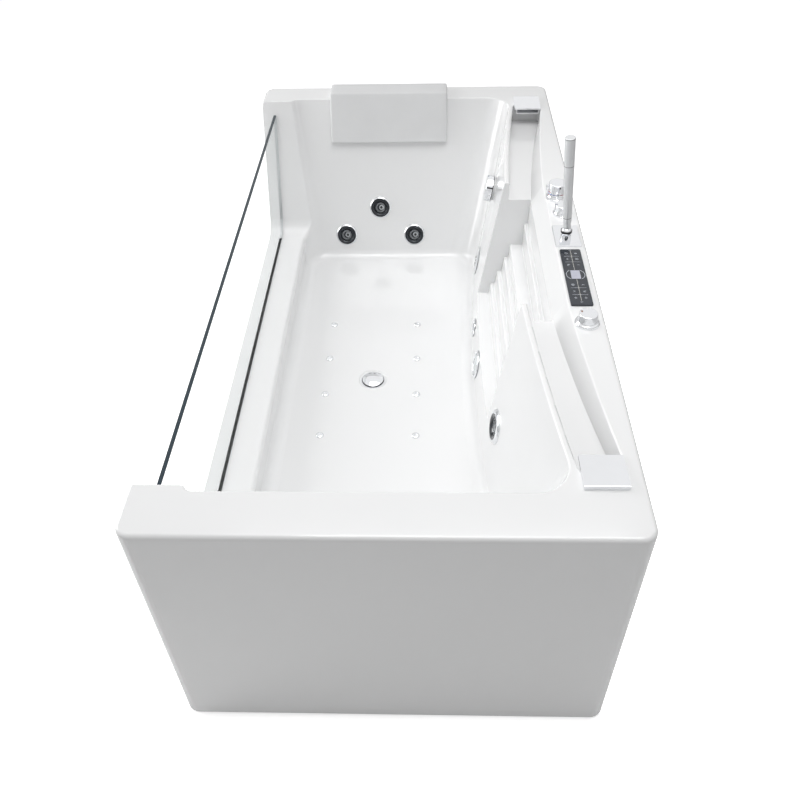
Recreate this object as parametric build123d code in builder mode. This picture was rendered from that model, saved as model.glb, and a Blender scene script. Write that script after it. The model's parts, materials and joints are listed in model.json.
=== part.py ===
from build123d import *
import math
import os

# Overall size: X runs from the window side to the wall side, Y from the foot end to the head end
LENGTH = 1700
WIDTH = 850
RIM = 600
FLOOR = 160
SHEET = 6
CORNER = 28
EDGE_ROUND = 8
LIP = 12

# Bathing space: plan at the floor and at the rim, right-hand wall bowed in at the middle
BOW = 9966
FLOOR_LEFT, FLOOR_MIDDLE, FLOOR_NEAR, FLOOR_FAR = -310, 187, -690, 590
RIM_LEFT, RIM_MIDDLE, RIM_NEAR, RIM_FAR = -332, 256, -755, 763
FLOOR_CORNER = 75
RIM_CORNER = 62
RIM_LEFT_CORNER = 13
FLOOR_ROUND = 32

# Window bay: a channel through the left side, a little smaller than the bathing space
SILL = 240
BAY_INNER = -290
BAY_NEAR_SILL, BAY_NEAR_TOP = -689, -742
BAY_FAR_SILL, BAY_FAR_TOP = 608, 750
BAY_ROUND = 60
OVERSHOOT = 20

# Water troughs from the spouts to the staircase
TROUGH_FLOOR = 553
TROUGH_LIP = 250
TROUGH_END = 713
TROUGH_LEFT = 268
TROUGH_RIGHT_LOW, TROUGH_RIGHT_LOW_BOW = 323, 6790
TROUGH_RIGHT_TOP, TROUGH_RIGHT_TOP_BOW = 351, 10810
TROUGH_CORNER = 16
TROUGH_OVERLAP = 12

# Staircase: foot of each riser and the height of its tread, from the deck down
STAIR_TOP = (356.3, 600)
STAIR_SHOULDER = (330.3, 551)
TREADS = [
    (329, 320, 484), (320, 288, 420), (286, 275, 382), (270, 260, 336), (254, 244, 296), (238, 206, 264)
]
STAIR_INSIDE = 140
STEP_ROUND = 4

# Softened edges: round the deck's openings, and where the bay meets the bathing space
RIM_ROUND = 4
BAY_EDGE_ROUND = 9

# Fittings on the walls, by height and place along the wall they sit in
BACK_JETS = {"left": (-186, 224), "centre": (-78, 303), "right": (28, 224)}
SIDE_JET = (-324, 312)
SUCTION = (459, 230)
LIGHT = (-8, 222)
SENSOR = (155, 214)
OVERFLOW = (470, 462)
SENSOR_HOLE = 12
DECK_HOLE = 14
JET_HOLE, JET_FLANGE, JET_BORE, JET_BALL, JET_SPOUT = 22, 33, 18.2, 17.6, 4.5
SIDE_JET_FLANGE = 41
FITTING_FIT = 0.3

# Floor fittings
DRAIN = (-76, 1)
DRAIN_HOLE, PLUG = 26, 28
AIR_JET_X = (-199, 40)
AIR_JET_Y = (-207, -57, 86, 236)
AIR_JET_HOLE, AIR_JET_CAP = 6, 10

# Window glass
GLASS_FACE = -385
GLASS = 8
GLASS_TOP = 565
SEAL = 3

# Controls on the wall-side deck
PANEL = (385, -158)
PANEL_WIDTH, PANEL_LENGTH, PANEL_HEIGHT = 46, 206, 4
FLOW_KNOB = (387, -316)
THERMOSTAT = (382, 178)
DIVERTER = (388, 104)
HANDSET_PLATE = (385, 1)
HANDSET_SEAT = (379, -20)
WAND_LEAN = 5
WAND_LENGTH = 196

# Waterfall spouts over the outer ends of the troughs
SPOUT_LEFT, SPOUT_RIGHT = 320, 395
SPOUT_FRONT, SPOUT_BACK = 676, 750
SPOUT_TOP, SPOUT_NOSE, SPOUT_UNDER = 609, 604, 589

# Head pillow: a flat foam pad that hooks over the head-end rim
PILLOW_LEFT, PILLOW_RIGHT = -222, 127
PILLOW_THICK = 20
PILLOW_BOTTOM = 484
PILLOW_BACK = 826

# Skirt panels and frame
PANEL_SHEET = 6
PANEL_FOOT = 10
RETURN = 45
TUBE = 30
RIM_RAIL = 15
LONG_RAIL_X, LONG_RAIL_Z = 385, 94
MEMBER_Z = 124
MEMBERS = (-800, -430, -120, 160, 500, 800)
MID_UPRIGHTS = (-430, 500)
RAIL_Z = 575
BOARD = 15
FEET_Y = (-700, -250, 250, 700)

# Glass bevel, board under the floor, frame tube and levelling feet
GLASS_BEVEL = 1
BOARD_LEFT, BOARD_RIGHT, BOARD_NEAR, BOARD_FAR = -255, 125, -635, 530
TRAP_RADIUS = 42
AIR_BODY_RADIUS = 13
TUBE_ROUND, TUBE_WALL = 2.5, 2
FRAME_LENGTH = 1660
MEMBER_LENGTH = 836
PAD_RADIUS, PAD_EDGE, PAD_NECK, PAD_HEIGHT, PAD_SOCKET = 24, 5, 11, 14, 6
STUD_RADIUS = 6
NUT_RADIUS, NUT_HEIGHT = 11, 9
CLIP_REACH, CLIP_SHEET, CLIP_HEIGHT, CLIP_WIDTH, CLIP_Z = 19, 3, 30, 40, 109
CLIP_Y = (-600, 0, 600)
CLIP_X = (-250, 250)

# Pump, blower and control box on the wall side
TRAYS = ((-445, 175), (485, 715))
TRAY_LEFT, TRAY_RIGHT, TRAY_SHEET, TRAY_ROUND = 228, 400, 3, 10
PUMP_X, PUMP_Z = 318, 224
MOTOR_BACK, MOTOR_LENGTH, MOTOR_RADIUS = -250, 170, 62
FINS, FIN_HEIGHT, FIN_WIDTH = 28, 6, 3
FOOT_WIDTH, FOOT_LENGTH = 110, 90
TERMINAL_WIDTH, TERMINAL_LENGTH, TERMINAL_HEIGHT = 60, 80, 22
FAN_LENGTH, FAN_ROUND = 36, 12
FAN_SLOT_PLACE, FAN_SLOTS, FAN_SLOT_LENGTH, FAN_SLOT_WIDTH, FAN_SLOT_DEPTH = 34, 12, 28, 4, 6
VOLUTE_RADIUS, VOLUTE_LENGTH, VOLUTE_ROUND = 74, 78, 16
UNION_RADIUS, UNION_LENGTH = 30, 26
OUTLET_X, OUTLET_Y = 352, -40
PIPE, PIPE_BEND = 20, 45
HOUSING_DEPTH = 40


# Pipes from the pump and the blower
MAIN_Z, MAIN_BACK = 372, 715
JET_PIPE, JET_BEND, DROP_PIPE, DROP_BEND = 16, 30, 13, 18
BLOWER = (335, 640)
BLOWER_RADIUS, BLOWER_HEIGHT, BLOWER_ROUND, BLOWER_SLOT_PLACE = 60, 130, 20, 22
AIR_PIPE, AIR_BEND = 10, 25
AIR_PIPE_START, AIR_PIPE_Z, AIR_TURN, AIR_JOIN, AIR_RISER, AIR_FEED_Z = -220, 90, 330, 300, 350, 185
AIR_STEM = 6
AIR_CAP_HEIGHT, AIR_HOLE_RING = 4, 3
CONTROL_BOX = (314, -365)
BOX_WIDTH, BOX_LENGTH, BOX_HEIGHT = 140, 130, 85

# Waste and overflow
DISH, DISH_RADIUS, DISH_TAPER = 2.5, 38, 45
FLANGE, FLANGE_SHEET, BARREL, PLUG_SEAT = 33, 1.5, 12, 23
PLUG_DOME, PLUG_EDGE, PLUG_CROWN, STEM, STEM_LENGTH = 9, 3, 70, 4, 60
TRAP_CUP, TRAP_BOTTOM, TRAP_DEPTH = 34, 22, 80
WASTE, WASTE_WALL, WASTE_Z, WASTE_END, SPIGOT, SPIGOT_COLLAR = 20, 3, 46, 400, 55, 24
OVERFLOW_DEPTH, OVERFLOW_BODY, OVERFLOW_KNOB, OVERFLOW_KNOB_HEIGHT = 34, 29, 36, 20
ROSETTE, ROSETTE_RADIUS, SPINDLE, SPINDLE_LENGTH = 5, 31, 5, 14
NOTCH_LENGTH, NOTCH_WIDTH, NOTCH_DEPTH, KNOB_ROUND = 12, 10, 4, 2
OVERFLOW_STUB, OVERFLOW_BEND_Z, OVERFLOW_JOG_Z = 44, 360, 290
OVERFLOW_DROP, OVERFLOW_PIPE = (275, 400), 16

# Wall fittings in their own frame: zero at the wall, positive into the water
BEZEL_CROWN, BEZEL_BARREL = 5, 10
BALL_FRONT, BALL_BACK, BALL_DEPTH, DISH_FLOOR, SPOUT_OFFSET, SPOUT_WALL = 8, 12, 8, 2, 3, 2.5
HOUSING, HOUSING_FACE, HOUSING_RECESS, AIR_BARB, AIR_BARB_LENGTH, AIR_BARB_Z = 28, -8.6, 18, 7, 18, -32
SUCTION_RADIUS, SUCTION_CROWN, SUCTION_WALL = 40, 7, 2.7
SUCTION_SLOTS, SUCTION_SLOT_PLACE, SUCTION_SLOT_LENGTH = 10, 12.5, 11
LENS, LENS_CROWN, LIGHT_RING, LIGHT_DEPTH = 29, 7, 36, 30
SENSOR_RADIUS, SENSOR_BUTTON, SENSOR_DEPTH = 25, 14, 26

# Spouts, deck controls and hand shower
SPOUT_ROUND, SPOUT_NECK, SPOUT_MOUTH, MOUTH_HEIGHT, MOUTH_DEPTH = 1.5, 700, 60, 9, 50
SPOUT_TAIL, TAIL_LENGTH = 732, 34
PANEL_CORNER, PANEL_DEPTH = 4, 26
COLLAR, SKIRT_RISE = 3, 6
FLOW_COLLAR, FLOW_WAIST, FLOW_TOP, FLOW_HEIGHT = 25, 20, 18.5, 25
THERMOSTAT_COLLAR, THERMOSTAT_WAIST, THERMOSTAT_TOP, THERMOSTAT_HEIGHT = 25, 22, 21, 40
STOP_BUTTON_Z, STOP_BUTTON_LENGTH, STOP_BUTTON_WIDTH, STOP_BUTTON_HEIGHT = 22, 10, 9, 12
STOP_BUTTON_CORNER, STOP_TRAVEL = 2, 2
DIVERTER_COLLAR, DIVERTER_WAIST, DIVERTER_TOP, DIVERTER_HEIGHT = 23, 20, 19, 24
MIXER_X, MIXER_START, MIXER_LENGTH, MIXER_Z, MIXER_RADIUS = 385, 70, 150, 536, 16
TAIL_Y, TAIL_RADIUS, TAIL_END, UNION_NUT, UNION_NUT_END = (145, 202), 10.5, 424, 14, 404
PLATE_WIDTH, PLATE_LENGTH, PLATE_CORNER, PLATE_HEIGHT = 58, 86, 3, 4.5
FERRULE, FERRULE_NECK, FERRULE_TOP = 12.5, 8, 621
BALL_SEAT, BALL_SEAT_Z, BALL_TOP = 12, 629, 637
WAND_GAP, WAND_COLLAR, WAND_START, WAND_FOOT, WAND_TIP = 1.3, 8.5, 18, 9.5, 11.5
SPRAY_LENGTH, SPRAY_WIDTH, SPRAY_DEPTH = 60, 12, 1.5
PILLOW_PROUD, PILLOW_EDGE = 16, 5


def bowed(middle, y, bow=BOW):
    """X of a bowed wall at a place along the bath: a shallow parabola about the middle."""
    return middle + y * y / bow


def basin_section(level, left, middle, near, far, corner, left_corner, grow):
    """Plan of the bathing space at one level, grown outwards by a sheet thickness."""
    near, far = near - grow, far + grow
    middle = middle + grow
    left = left - grow
    with BuildSketch(Plane.XY.offset(level)) as section:
        with BuildLine():
            wall = ThreePointArc((bowed(middle, near), near), (middle, 0), (bowed(middle, far), far))
            Polyline(wall @ 1, (left, far), (left, near), wall @ 0)
        make_face()
        fillet(section.vertices().group_by(Axis.X)[0], left_corner + grow)
        fillet(section.vertices().filter_by_position(Axis.X, middle, WIDTH), corner + grow)
    return section.sketch


def basin_space(grow):
    """Tapered bathing space between its floor plan and its rim plan, with a rounded foot."""
    floor_plan = basin_section(
        FLOOR - grow, FLOOR_LEFT, FLOOR_MIDDLE, FLOOR_NEAR, FLOOR_FAR, FLOOR_CORNER, FLOOR_CORNER, grow
    )
    rim_plan = basin_section(
        RIM, RIM_LEFT, RIM_MIDDLE, RIM_NEAR, RIM_FAR, RIM_CORNER, RIM_LEFT_CORNER, grow
    )
    with BuildPart() as basin:
        loft([floor_plan.face(), rim_plan.face()])
        fillet(basin.edges().group_by(Axis.Z)[0], FLOOR_ROUND + grow)
    return basin.part


def bay_profile(grow):
    """Side view of the window bay: level sill, sloped reveals, rounded bottom corners."""
    rise = RIM - SILL
    near_run = (BAY_NEAR_TOP - BAY_NEAR_SILL) / rise
    far_run = (BAY_FAR_TOP - BAY_FAR_SILL) / rise
    top = RIM + OVERSHOOT
    with BuildSketch(Plane.YZ) as profile:
        with BuildLine():
            Polyline(
                (BAY_NEAR_SILL + near_run * (top - SILL), top),
                (BAY_NEAR_SILL, SILL),
                (BAY_FAR_SILL, SILL),
                (BAY_FAR_SILL + far_run * (top - SILL), top),
                close=True,
            )
        make_face()
        fillet(profile.vertices().group_by(Axis.Y)[0], BAY_ROUND)
        if grow:
            offset(amount=grow, kind=Kind.INTERSECTION)
    return profile.sketch_local


def trough_section(level, right, right_bow, grow):
    """Plan of the far trough at one level, from just inside the staircase to the spout."""
    start = TROUGH_LIP - TROUGH_OVERLAP
    end = TROUGH_END + grow
    left = TROUGH_LEFT - grow
    right = right + grow
    middle = (start + end) / 2
    with BuildSketch(Plane.XY.offset(level)) as section:
        with BuildLine():
            inner = ThreePointArc(
                (bowed(left, start), start), (bowed(left, middle), middle), (bowed(left, end), end)
            )
            outer = ThreePointArc(
                (bowed(right, end, right_bow), end),
                (bowed(right, middle, right_bow), middle),
                (bowed(right, start, right_bow), start),
            )
            Line(inner @ 1, outer @ 0)
            Line(outer @ 1, inner @ 0)
        make_face()
        fillet(section.vertices().group_by(Axis.Y)[-1], TROUGH_CORNER + grow)
    return section.sketch


def trough_space(grow):
    """Far trough: a shallow channel that narrows and dips towards the staircase."""
    low = trough_section(TROUGH_FLOOR - grow, TROUGH_RIGHT_LOW, TROUGH_RIGHT_LOW_BOW, grow)
    top = trough_section(RIM, TROUGH_RIGHT_TOP, TROUGH_RIGHT_TOP_BOW, grow)
    with BuildPart() as trough:
        loft([low.face(), top.face()], ruled=True)
    return trough.part


def stair_space(grow):
    """Staircase recess between the troughs: a stepped profile drawn along the bath."""
    points = [(STAIR_INSIDE, RIM), STAIR_TOP, STAIR_SHOULDER]
    for foot, nose, tread in TREADS:
        points += [(foot, tread), (nose, tread)]
    points.append((STAIR_INSIDE, TREADS[-1][2]))
    with BuildSketch(Plane.XZ.offset(-TROUGH_LIP - grow)) as profile:
        with BuildLine():
            Polyline(*points, close=True)
        make_face()
        steps = profile.vertices().filter_by_position(Axis.X, STAIR_INSIDE + 1, STAIR_TOP[0] - 1)
        fillet(steps, STEP_ROUND)
        if grow:
            offset(amount=grow, kind=Kind.INTERSECTION)
    with BuildPart() as recess:
        extrude(profile.sketch, amount=2 * (TROUGH_LIP + grow))
    return recess.part


def water_space(grow):
    """Everything open above the acrylic: basin, window bay, troughs and staircase."""
    trough = trough_space(grow)
    with BuildPart() as space:
        add(basin_space(grow))
        with BuildSketch(Plane.YZ.offset(-WIDTH / 2 - OVERSHOOT)):
            add(bay_profile(grow))
        extrude(amount=WIDTH / 2 + OVERSHOOT + BAY_INNER)
        add(stair_space(grow))
        add(trough)
        mirror(trough, about=Plane.XZ)
    return space.part


def keep(builder, name):
    """Label a finished piece and write it to its own file."""
    builder.part.label = name
    export_step(builder.part, f"parts/{name}.step")


def facing(space, origin, direction):
    """Plane on the wall that a straight look from the bath's middle meets, facing back into the water."""
    look = Axis(origin, direction)
    hits = [hit for face in space.faces() for hit in face.find_intersection_points(look)]
    ahead = [hit for hit in hits if (hit[0] - Vector(*origin)).dot(Vector(*direction)) > 0]
    point, normal = min(ahead, key=lambda hit: (hit[0] - Vector(*origin)).length)
    if normal.dot(Vector(*direction)) > 0:
        normal = -normal
    across = Vector(0, 0, 1).cross(normal)
    return Plane(origin=point, x_dir=across, z_dir=normal)


def body_plan(level, inset=0):
    """Plan outline of the whole bath at one level."""
    with BuildSketch(Plane.XY.offset(level)) as plan:
        RectangleRounded(WIDTH - 2 * inset, LENGTH - 2 * inset, CORNER - inset)
    return plan.sketch


def is_bay_edge(edge):
    """Whether an edge is one where the window bay opens into the bathing space."""
    reach = edge.bounding_box()
    across = reach.min.X > RIM_LEFT - 2 and reach.max.X < BAY_INNER + OVERSHOOT
    return across and reach.min.Z > SILL - 1 and edge.center().Z < RIM - 2 and edge.length > SHEET


def is_inner_rim(edge):
    """Whether an edge lies between the deck and what opens below it, and not on the deck's outline."""
    middle = edge.center()
    inside = abs(middle.X) < WIDTH / 2 - CORNER and abs(middle.Y) < LENGTH / 2 - CORNER
    return inside and abs(middle.Z - RIM) < FITTING_FIT


os.makedirs("parts", exist_ok=True)

water = water_space(0)
acrylic = water_space(SHEET)
jet_seats = {f"back_jet_{side}": facing(water, (x, 0, z), (0, 1, 0)) for side, (x, z) in BACK_JETS.items()}
jet_seats["side_jet"] = facing(water, (0, *SIDE_JET), (1, 0, 0))
suction_seat = facing(water, (0, *SUCTION), (1, 0, 0))
light_seat = facing(water, (0, *LIGHT), (1, 0, 0))
sensor_seat = facing(water, (0, *SENSOR), (1, 0, 0))
overflow_seat = facing(water, (0, *OVERFLOW), (1, 0, 0))
deck_top = Plane.XY.offset(RIM)
floor_top = Plane.XY.offset(FLOOR)
air_jet_places = [(x, y) for x in AIR_JET_X for y in AIR_JET_Y]
spout_middle = (SPOUT_LEFT + SPOUT_RIGHT) / 2
spout_tails = [(spout_middle, -SPOUT_TAIL), (spout_middle, SPOUT_TAIL)]

# Window-side skirt: a flat sheet with the opening of the window bay
with BuildPart() as window_side_panel:
    with BuildSketch(Plane.YZ.offset(-WIDTH / 2)):
        span = LENGTH - 2 * (RETURN + CORNER)
        with Locations((0, (PANEL_FOOT + RIM - LIP) / 2)):
            Rectangle(span, RIM - LIP - PANEL_FOOT)
        add(bay_profile(0), mode=Mode.SUBTRACT)
    extrude(amount=PANEL_SHEET)
keep(window_side_panel, "window_side_panel")

# End skirts: U-shaped sheets that wrap both rounded corners
with BuildPart() as foot_end_panel:
    with BuildSketch(Plane.XY.offset(PANEL_FOOT)):
        add(body_plan(0))
        add(body_plan(0, PANEL_SHEET), mode=Mode.SUBTRACT)
        with Locations((0, RETURN + CORNER)):
            Rectangle(WIDTH + OVERSHOOT, LENGTH, mode=Mode.SUBTRACT)
    extrude(amount=RIM - LIP - PANEL_FOOT)
keep(foot_end_panel, "foot_end_panel")

with BuildPart() as head_end_panel:
    mirror(foot_end_panel.part, about=Plane.XZ)
keep(head_end_panel, "head_end_panel")

# Acrylic shell: deck with a turned-down lip, and the basin formed in one piece with it
with BuildPart() as deck:
    with BuildSketch(Plane.XY.offset(RIM - LIP)):
        add(body_plan(0))
    extrude(amount=LIP)
    fillet(deck.edges().group_by(Axis.Z)[-1], EDGE_ROUND)
    with BuildSketch(Plane.XY.offset(RIM - LIP)):
        add(body_plan(0, SHEET))
    extrude(amount=LIP - SHEET, mode=Mode.SUBTRACT)

with BuildPart() as bath_shell:
    add(acrylic)
    with BuildSketch(Plane.XY.offset(FLOOR - OVERSHOOT)):
        add(body_plan(0, SHEET))
    extrude(amount=RIM - SHEET - FLOOR + OVERSHOOT, mode=Mode.INTERSECT)
    add(deck.part)
    add(water, mode=Mode.SUBTRACT)
    fillet(bath_shell.edges().filter_by(is_bay_edge), BAY_EDGE_ROUND)
    fillet(bath_shell.edges().filter_by(is_inner_rim), RIM_ROUND)
    with Locations(*jet_seats.values(), suction_seat, light_seat, overflow_seat):
        Cylinder(JET_HOLE, 4 * SHEET, mode=Mode.SUBTRACT)
    with Locations(sensor_seat):
        Cylinder(SENSOR_HOLE, 4 * SHEET, mode=Mode.SUBTRACT)
    with BuildSketch(floor_top):
        with Locations(DRAIN):
            Circle(DRAIN_HOLE)
        with Locations(*air_jet_places):
            Circle(AIR_JET_HOLE)
    extrude(amount=2 * SHEET, both=True, mode=Mode.SUBTRACT)
    with BuildSketch(floor_top):
        with Locations(DRAIN):
            Circle(DISH_RADIUS)
    extrude(amount=-DISH, taper=DISH_TAPER, mode=Mode.SUBTRACT)
    with BuildSketch(deck_top):
        with Locations(FLOW_KNOB, THERMOSTAT, DIVERTER, *spout_tails):
            Circle(DECK_HOLE)
        with Locations(PANEL):
            Rectangle(PANEL_WIDTH - 2 * SHEET, PANEL_LENGTH - 2 * SHEET)
    extrude(amount=2 * SHEET, both=True, mode=Mode.SUBTRACT)
keep(bath_shell, "bath_shell")

# Window glass: follows the bay, standing on its sill, with a polished level top edge
glass_plane = Plane.YZ.offset(GLASS_FACE - GLASS)
with BuildPart() as window_glass:
    with BuildSketch(glass_plane):
        add(bay_profile(-SEAL))
        with Locations((0, GLASS_TOP)):
            Rectangle(LENGTH, RIM, align=(Align.CENTER, Align.MIN), mode=Mode.SUBTRACT)
    extrude(amount=GLASS)
    chamfer(window_glass.edges().group_by(Axis.Z)[-1].filter_by(Axis.Y), GLASS_BEVEL)
keep(window_glass, "window_glass")

# Silicone bed between the glass and the bay
with BuildPart() as glass_seal:
    with BuildSketch(glass_plane):
        add(bay_profile(0))
        add(bay_profile(-SEAL), mode=Mode.SUBTRACT)
        with Locations((0, GLASS_TOP)):
            Rectangle(LENGTH, RIM, align=(Align.CENTER, Align.MIN), mode=Mode.SUBTRACT)
    extrude(amount=GLASS)
keep(glass_seal, "glass_seal")

# Reinforcing board bonded under the bath floor
with BuildPart() as base_board:
    with BuildSketch(Plane.XY.offset(FLOOR - SHEET - BOARD)):
        with Locations(((BOARD_LEFT + BOARD_RIGHT) / 2, (BOARD_NEAR + BOARD_FAR) / 2)):
            RectangleRounded(BOARD_RIGHT - BOARD_LEFT, BOARD_FAR - BOARD_NEAR, FLOOR_ROUND / 2)
        with Locations(DRAIN):
            Circle(TRAP_RADIUS + SHEET, mode=Mode.SUBTRACT)
        with Locations(*air_jet_places):
            Circle(AIR_BODY_RADIUS + SHEET, mode=Mode.SUBTRACT)
    extrude(amount=BOARD)
keep(base_board, "base_board")


def along_x(x, y, z):
    """Plane across a piece that runs along X."""
    return Plane((x, y, z), x_dir=(0, 1, 0), z_dir=(1, 0, 0))


def along_y(x, y, z):
    """Plane across a piece that runs along Y."""
    return Plane((x, y, z), x_dir=(1, 0, 0), z_dir=(0, 1, 0))


def steel_tube(length, width, height, plane):
    """Rectangular steel tube along the plane's normal, centred on its origin."""
    with BuildPart() as tube:
        with BuildSketch(plane) as section:
            RectangleRounded(width, height, TUBE_ROUND)
            Rectangle(width - 2 * TUBE_WALL, height - 2 * TUBE_WALL, mode=Mode.SUBTRACT)
        extrude(section.sketch, amount=length / 2, both=True)
    return tube.part


# Steel frame: two long rails, members across them, uprights, and rails under the rim
with BuildPart() as long_rails:
    for x in (-LONG_RAIL_X, LONG_RAIL_X):
        add(steel_tube(FRAME_LENGTH, TUBE, TUBE, along_y(x, 0, LONG_RAIL_Z)))
keep(long_rails, "long_rails")

with BuildPart() as cross_members:
    for y in MEMBERS:
        add(steel_tube(MEMBER_LENGTH, TUBE, TUBE, along_x(0, y, MEMBER_Z)))
keep(cross_members, "cross_members")

upright_foot = MEMBER_Z + TUBE / 2
upright_top = RAIL_Z - TUBE / 2
upright_middle = (upright_foot + upright_top) / 2
upright_length = upright_top - upright_foot
with BuildPart() as corner_uprights:
    for x in (-LONG_RAIL_X, LONG_RAIL_X):
        for y in (MEMBERS[0], MEMBERS[-1]):
            add(steel_tube(upright_length, TUBE, TUBE, Plane((x, y, upright_middle))))
keep(corner_uprights, "corner_uprights")

side_rail_x = (MEMBER_LENGTH - RIM_RAIL) / 2
with BuildPart() as rim_rails:
    for y in (MEMBERS[0], MEMBERS[-1]):
        add(steel_tube(MEMBER_LENGTH, TUBE, TUBE, along_x(0, y, RAIL_Z)))
    add(steel_tube(MEMBERS[-1] - MEMBERS[0] - TUBE, RIM_RAIL, TUBE, along_y(side_rail_x, 0, RAIL_Z)))
    for y in MID_UPRIGHTS:
        add(steel_tube(upright_length, RIM_RAIL, TUBE, Plane((side_rail_x, y, upright_middle))))
keep(rim_rails, "rim_rails")

# Levelling feet: studs up to the long rails, each with its nut under the rail, and pads on the floor
feet_places = [(x, y) for x in (-LONG_RAIL_X, LONG_RAIL_X) for y in FEET_Y]
rail_under = LONG_RAIL_Z - TUBE / 2
with BuildPart() as foot_studs:
    with BuildSketch(Plane.XY.offset(PAD_SOCKET)):
        with Locations(*feet_places):
            Circle(STUD_RADIUS)
    extrude(amount=rail_under - PAD_SOCKET)
    with BuildSketch(Plane.XY.offset(rail_under - NUT_HEIGHT)):
        with Locations(*feet_places):
            RegularPolygon(NUT_RADIUS, 6)
    extrude(amount=NUT_HEIGHT)
keep(foot_studs, "foot_studs")

with BuildPart() as foot_pad:
    with BuildSketch(Plane.XZ):
        with BuildLine():
            edge = Line((PAD_RADIUS, 0), (PAD_RADIUS, PAD_EDGE))
            Polyline(edge @ 1, (PAD_NECK, PAD_HEIGHT), (STUD_RADIUS, PAD_HEIGHT), (STUD_RADIUS, PAD_SOCKET))
            Polyline((STUD_RADIUS, PAD_SOCKET), (0, PAD_SOCKET), (0, 0), edge @ 0)
        make_face()
    revolve(axis=Axis.Z)
with BuildPart() as foot_pads:
    with Locations(*[(x, y, 0) for x, y in feet_places]):
        add(foot_pad.part)
keep(foot_pads, "foot_pads")

# Angle clips that hold the skirts to the frame, each with one screw
with BuildPart() as side_clip:
    with BuildSketch(Plane.XZ):
        Rectangle(CLIP_REACH, CLIP_SHEET, align=(Align.MIN, Align.MIN))
        Rectangle(CLIP_SHEET, CLIP_HEIGHT, align=(Align.MIN, Align.MIN))
    extrude(amount=CLIP_WIDTH / 2, both=True)
clip_inner = WIDTH / 2 - PANEL_SHEET
end_inner = LENGTH / 2 - PANEL_SHEET
clip_places = [Location((-clip_inner, y, CLIP_Z)) for y in CLIP_Y]
clip_places += [Location((x, -end_inner, CLIP_Z), (0, 0, 90)) for x in CLIP_X]
clip_places += [Location((x, end_inner, CLIP_Z), (0, 0, -90)) for x in CLIP_X]
with BuildPart() as skirt_clips:
    with Locations(*clip_places):
        add(side_clip.part)
keep(skirt_clips, "skirt_clips")

# Equipment trays on the members of the wall side
with BuildPart() as equipment_trays:
    for y_low, y_high in TRAYS:
        with BuildSketch(Plane.XY.offset(upright_foot)):
            with Locations(((TRAY_LEFT + TRAY_RIGHT) / 2, (y_low + y_high) / 2)):
                RectangleRounded(TRAY_RIGHT - TRAY_LEFT, y_high - y_low, TRAY_ROUND)
        extrude(amount=TRAY_SHEET)
keep(equipment_trays, "equipment_trays")
tray_top = upright_foot + TRAY_SHEET

# Circulation pump: finned motor, fan cover, foot and volute with its two unions
motor_plane = along_y(PUMP_X, MOTOR_BACK, PUMP_Z)
with BuildPart() as pump_motor:
    with BuildSketch(motor_plane):
        Circle(MOTOR_RADIUS)
        with PolarLocations(MOTOR_RADIUS, FINS):
            Rectangle(2 * FIN_HEIGHT, FIN_WIDTH)
    extrude(amount=MOTOR_LENGTH)
    with BuildSketch(Plane((PUMP_X, MOTOR_BACK + MOTOR_LENGTH / 2, tray_top))):
        Rectangle(FOOT_WIDTH, FOOT_LENGTH)
    extrude(amount=PUMP_Z - MOTOR_RADIUS / 2 - tray_top)
    with BuildSketch(Plane((PUMP_X, MOTOR_BACK + MOTOR_LENGTH / 2, PUMP_Z))):
        Rectangle(TERMINAL_WIDTH, TERMINAL_LENGTH)
    extrude(amount=MOTOR_RADIUS + TERMINAL_HEIGHT)
keep(pump_motor, "pump_motor")

with BuildPart() as pump_fan_cover:
    with BuildSketch(motor_plane):
        Circle(MOTOR_RADIUS + FIN_HEIGHT)
    extrude(amount=-FAN_LENGTH)
    fillet(pump_fan_cover.edges().group_by(Axis.Y)[0], FAN_ROUND)
    with BuildSketch(along_y(PUMP_X, MOTOR_BACK - FAN_LENGTH, PUMP_Z)):
        with PolarLocations(FAN_SLOT_PLACE, FAN_SLOTS):
            SlotOverall(FAN_SLOT_LENGTH, FAN_SLOT_WIDTH)
    extrude(amount=FAN_SLOT_DEPTH, mode=Mode.SUBTRACT)
keep(pump_fan_cover, "pump_fan_cover")

volute_back = MOTOR_BACK + MOTOR_LENGTH
inlet_end = volute_back + VOLUTE_LENGTH + UNION_LENGTH
with BuildPart() as pump_wet_end:
    with BuildSketch(along_y(PUMP_X, volute_back, PUMP_Z)):
        Circle(VOLUTE_RADIUS)
    extrude(amount=VOLUTE_LENGTH)
    fillet(pump_wet_end.edges().group_by(Axis.Y)[-1], VOLUTE_ROUND)
    with BuildSketch(along_y(PUMP_X, volute_back + VOLUTE_LENGTH / 2, PUMP_Z)):
        Circle(UNION_RADIUS)
    extrude(amount=VOLUTE_LENGTH / 2 + UNION_LENGTH)
    with BuildSketch(Plane((OUTLET_X, OUTLET_Y, PUMP_Z))):
        Circle(UNION_RADIUS)
    extrude(amount=VOLUTE_RADIUS + UNION_LENGTH)
keep(pump_wet_end, "pump_wet_end")


def pipe(points, radius, bend):
    """Round pipe along straight runs joined by bends."""
    with BuildPart() as run:
        with BuildLine() as route:
            FilletPolyline(*points, radius=bend)
        with BuildSketch(Plane(origin=route.line @ 0, z_dir=route.line % 0)):
            Circle(radius)
        sweep(path=route.line)
    return run.part


def behind(seat, depth):
    """Point on a fitting's axis, a depth behind its wall."""
    return tuple(seat.origin - seat.z_dir * depth)


def depth_at(seat, axis, place):
    """Depth behind the wall at which a fitting's axis reaches a coordinate along X or Y."""
    return (getattr(seat.origin, axis) - place) / getattr(seat.z_dir, axis)


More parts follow.
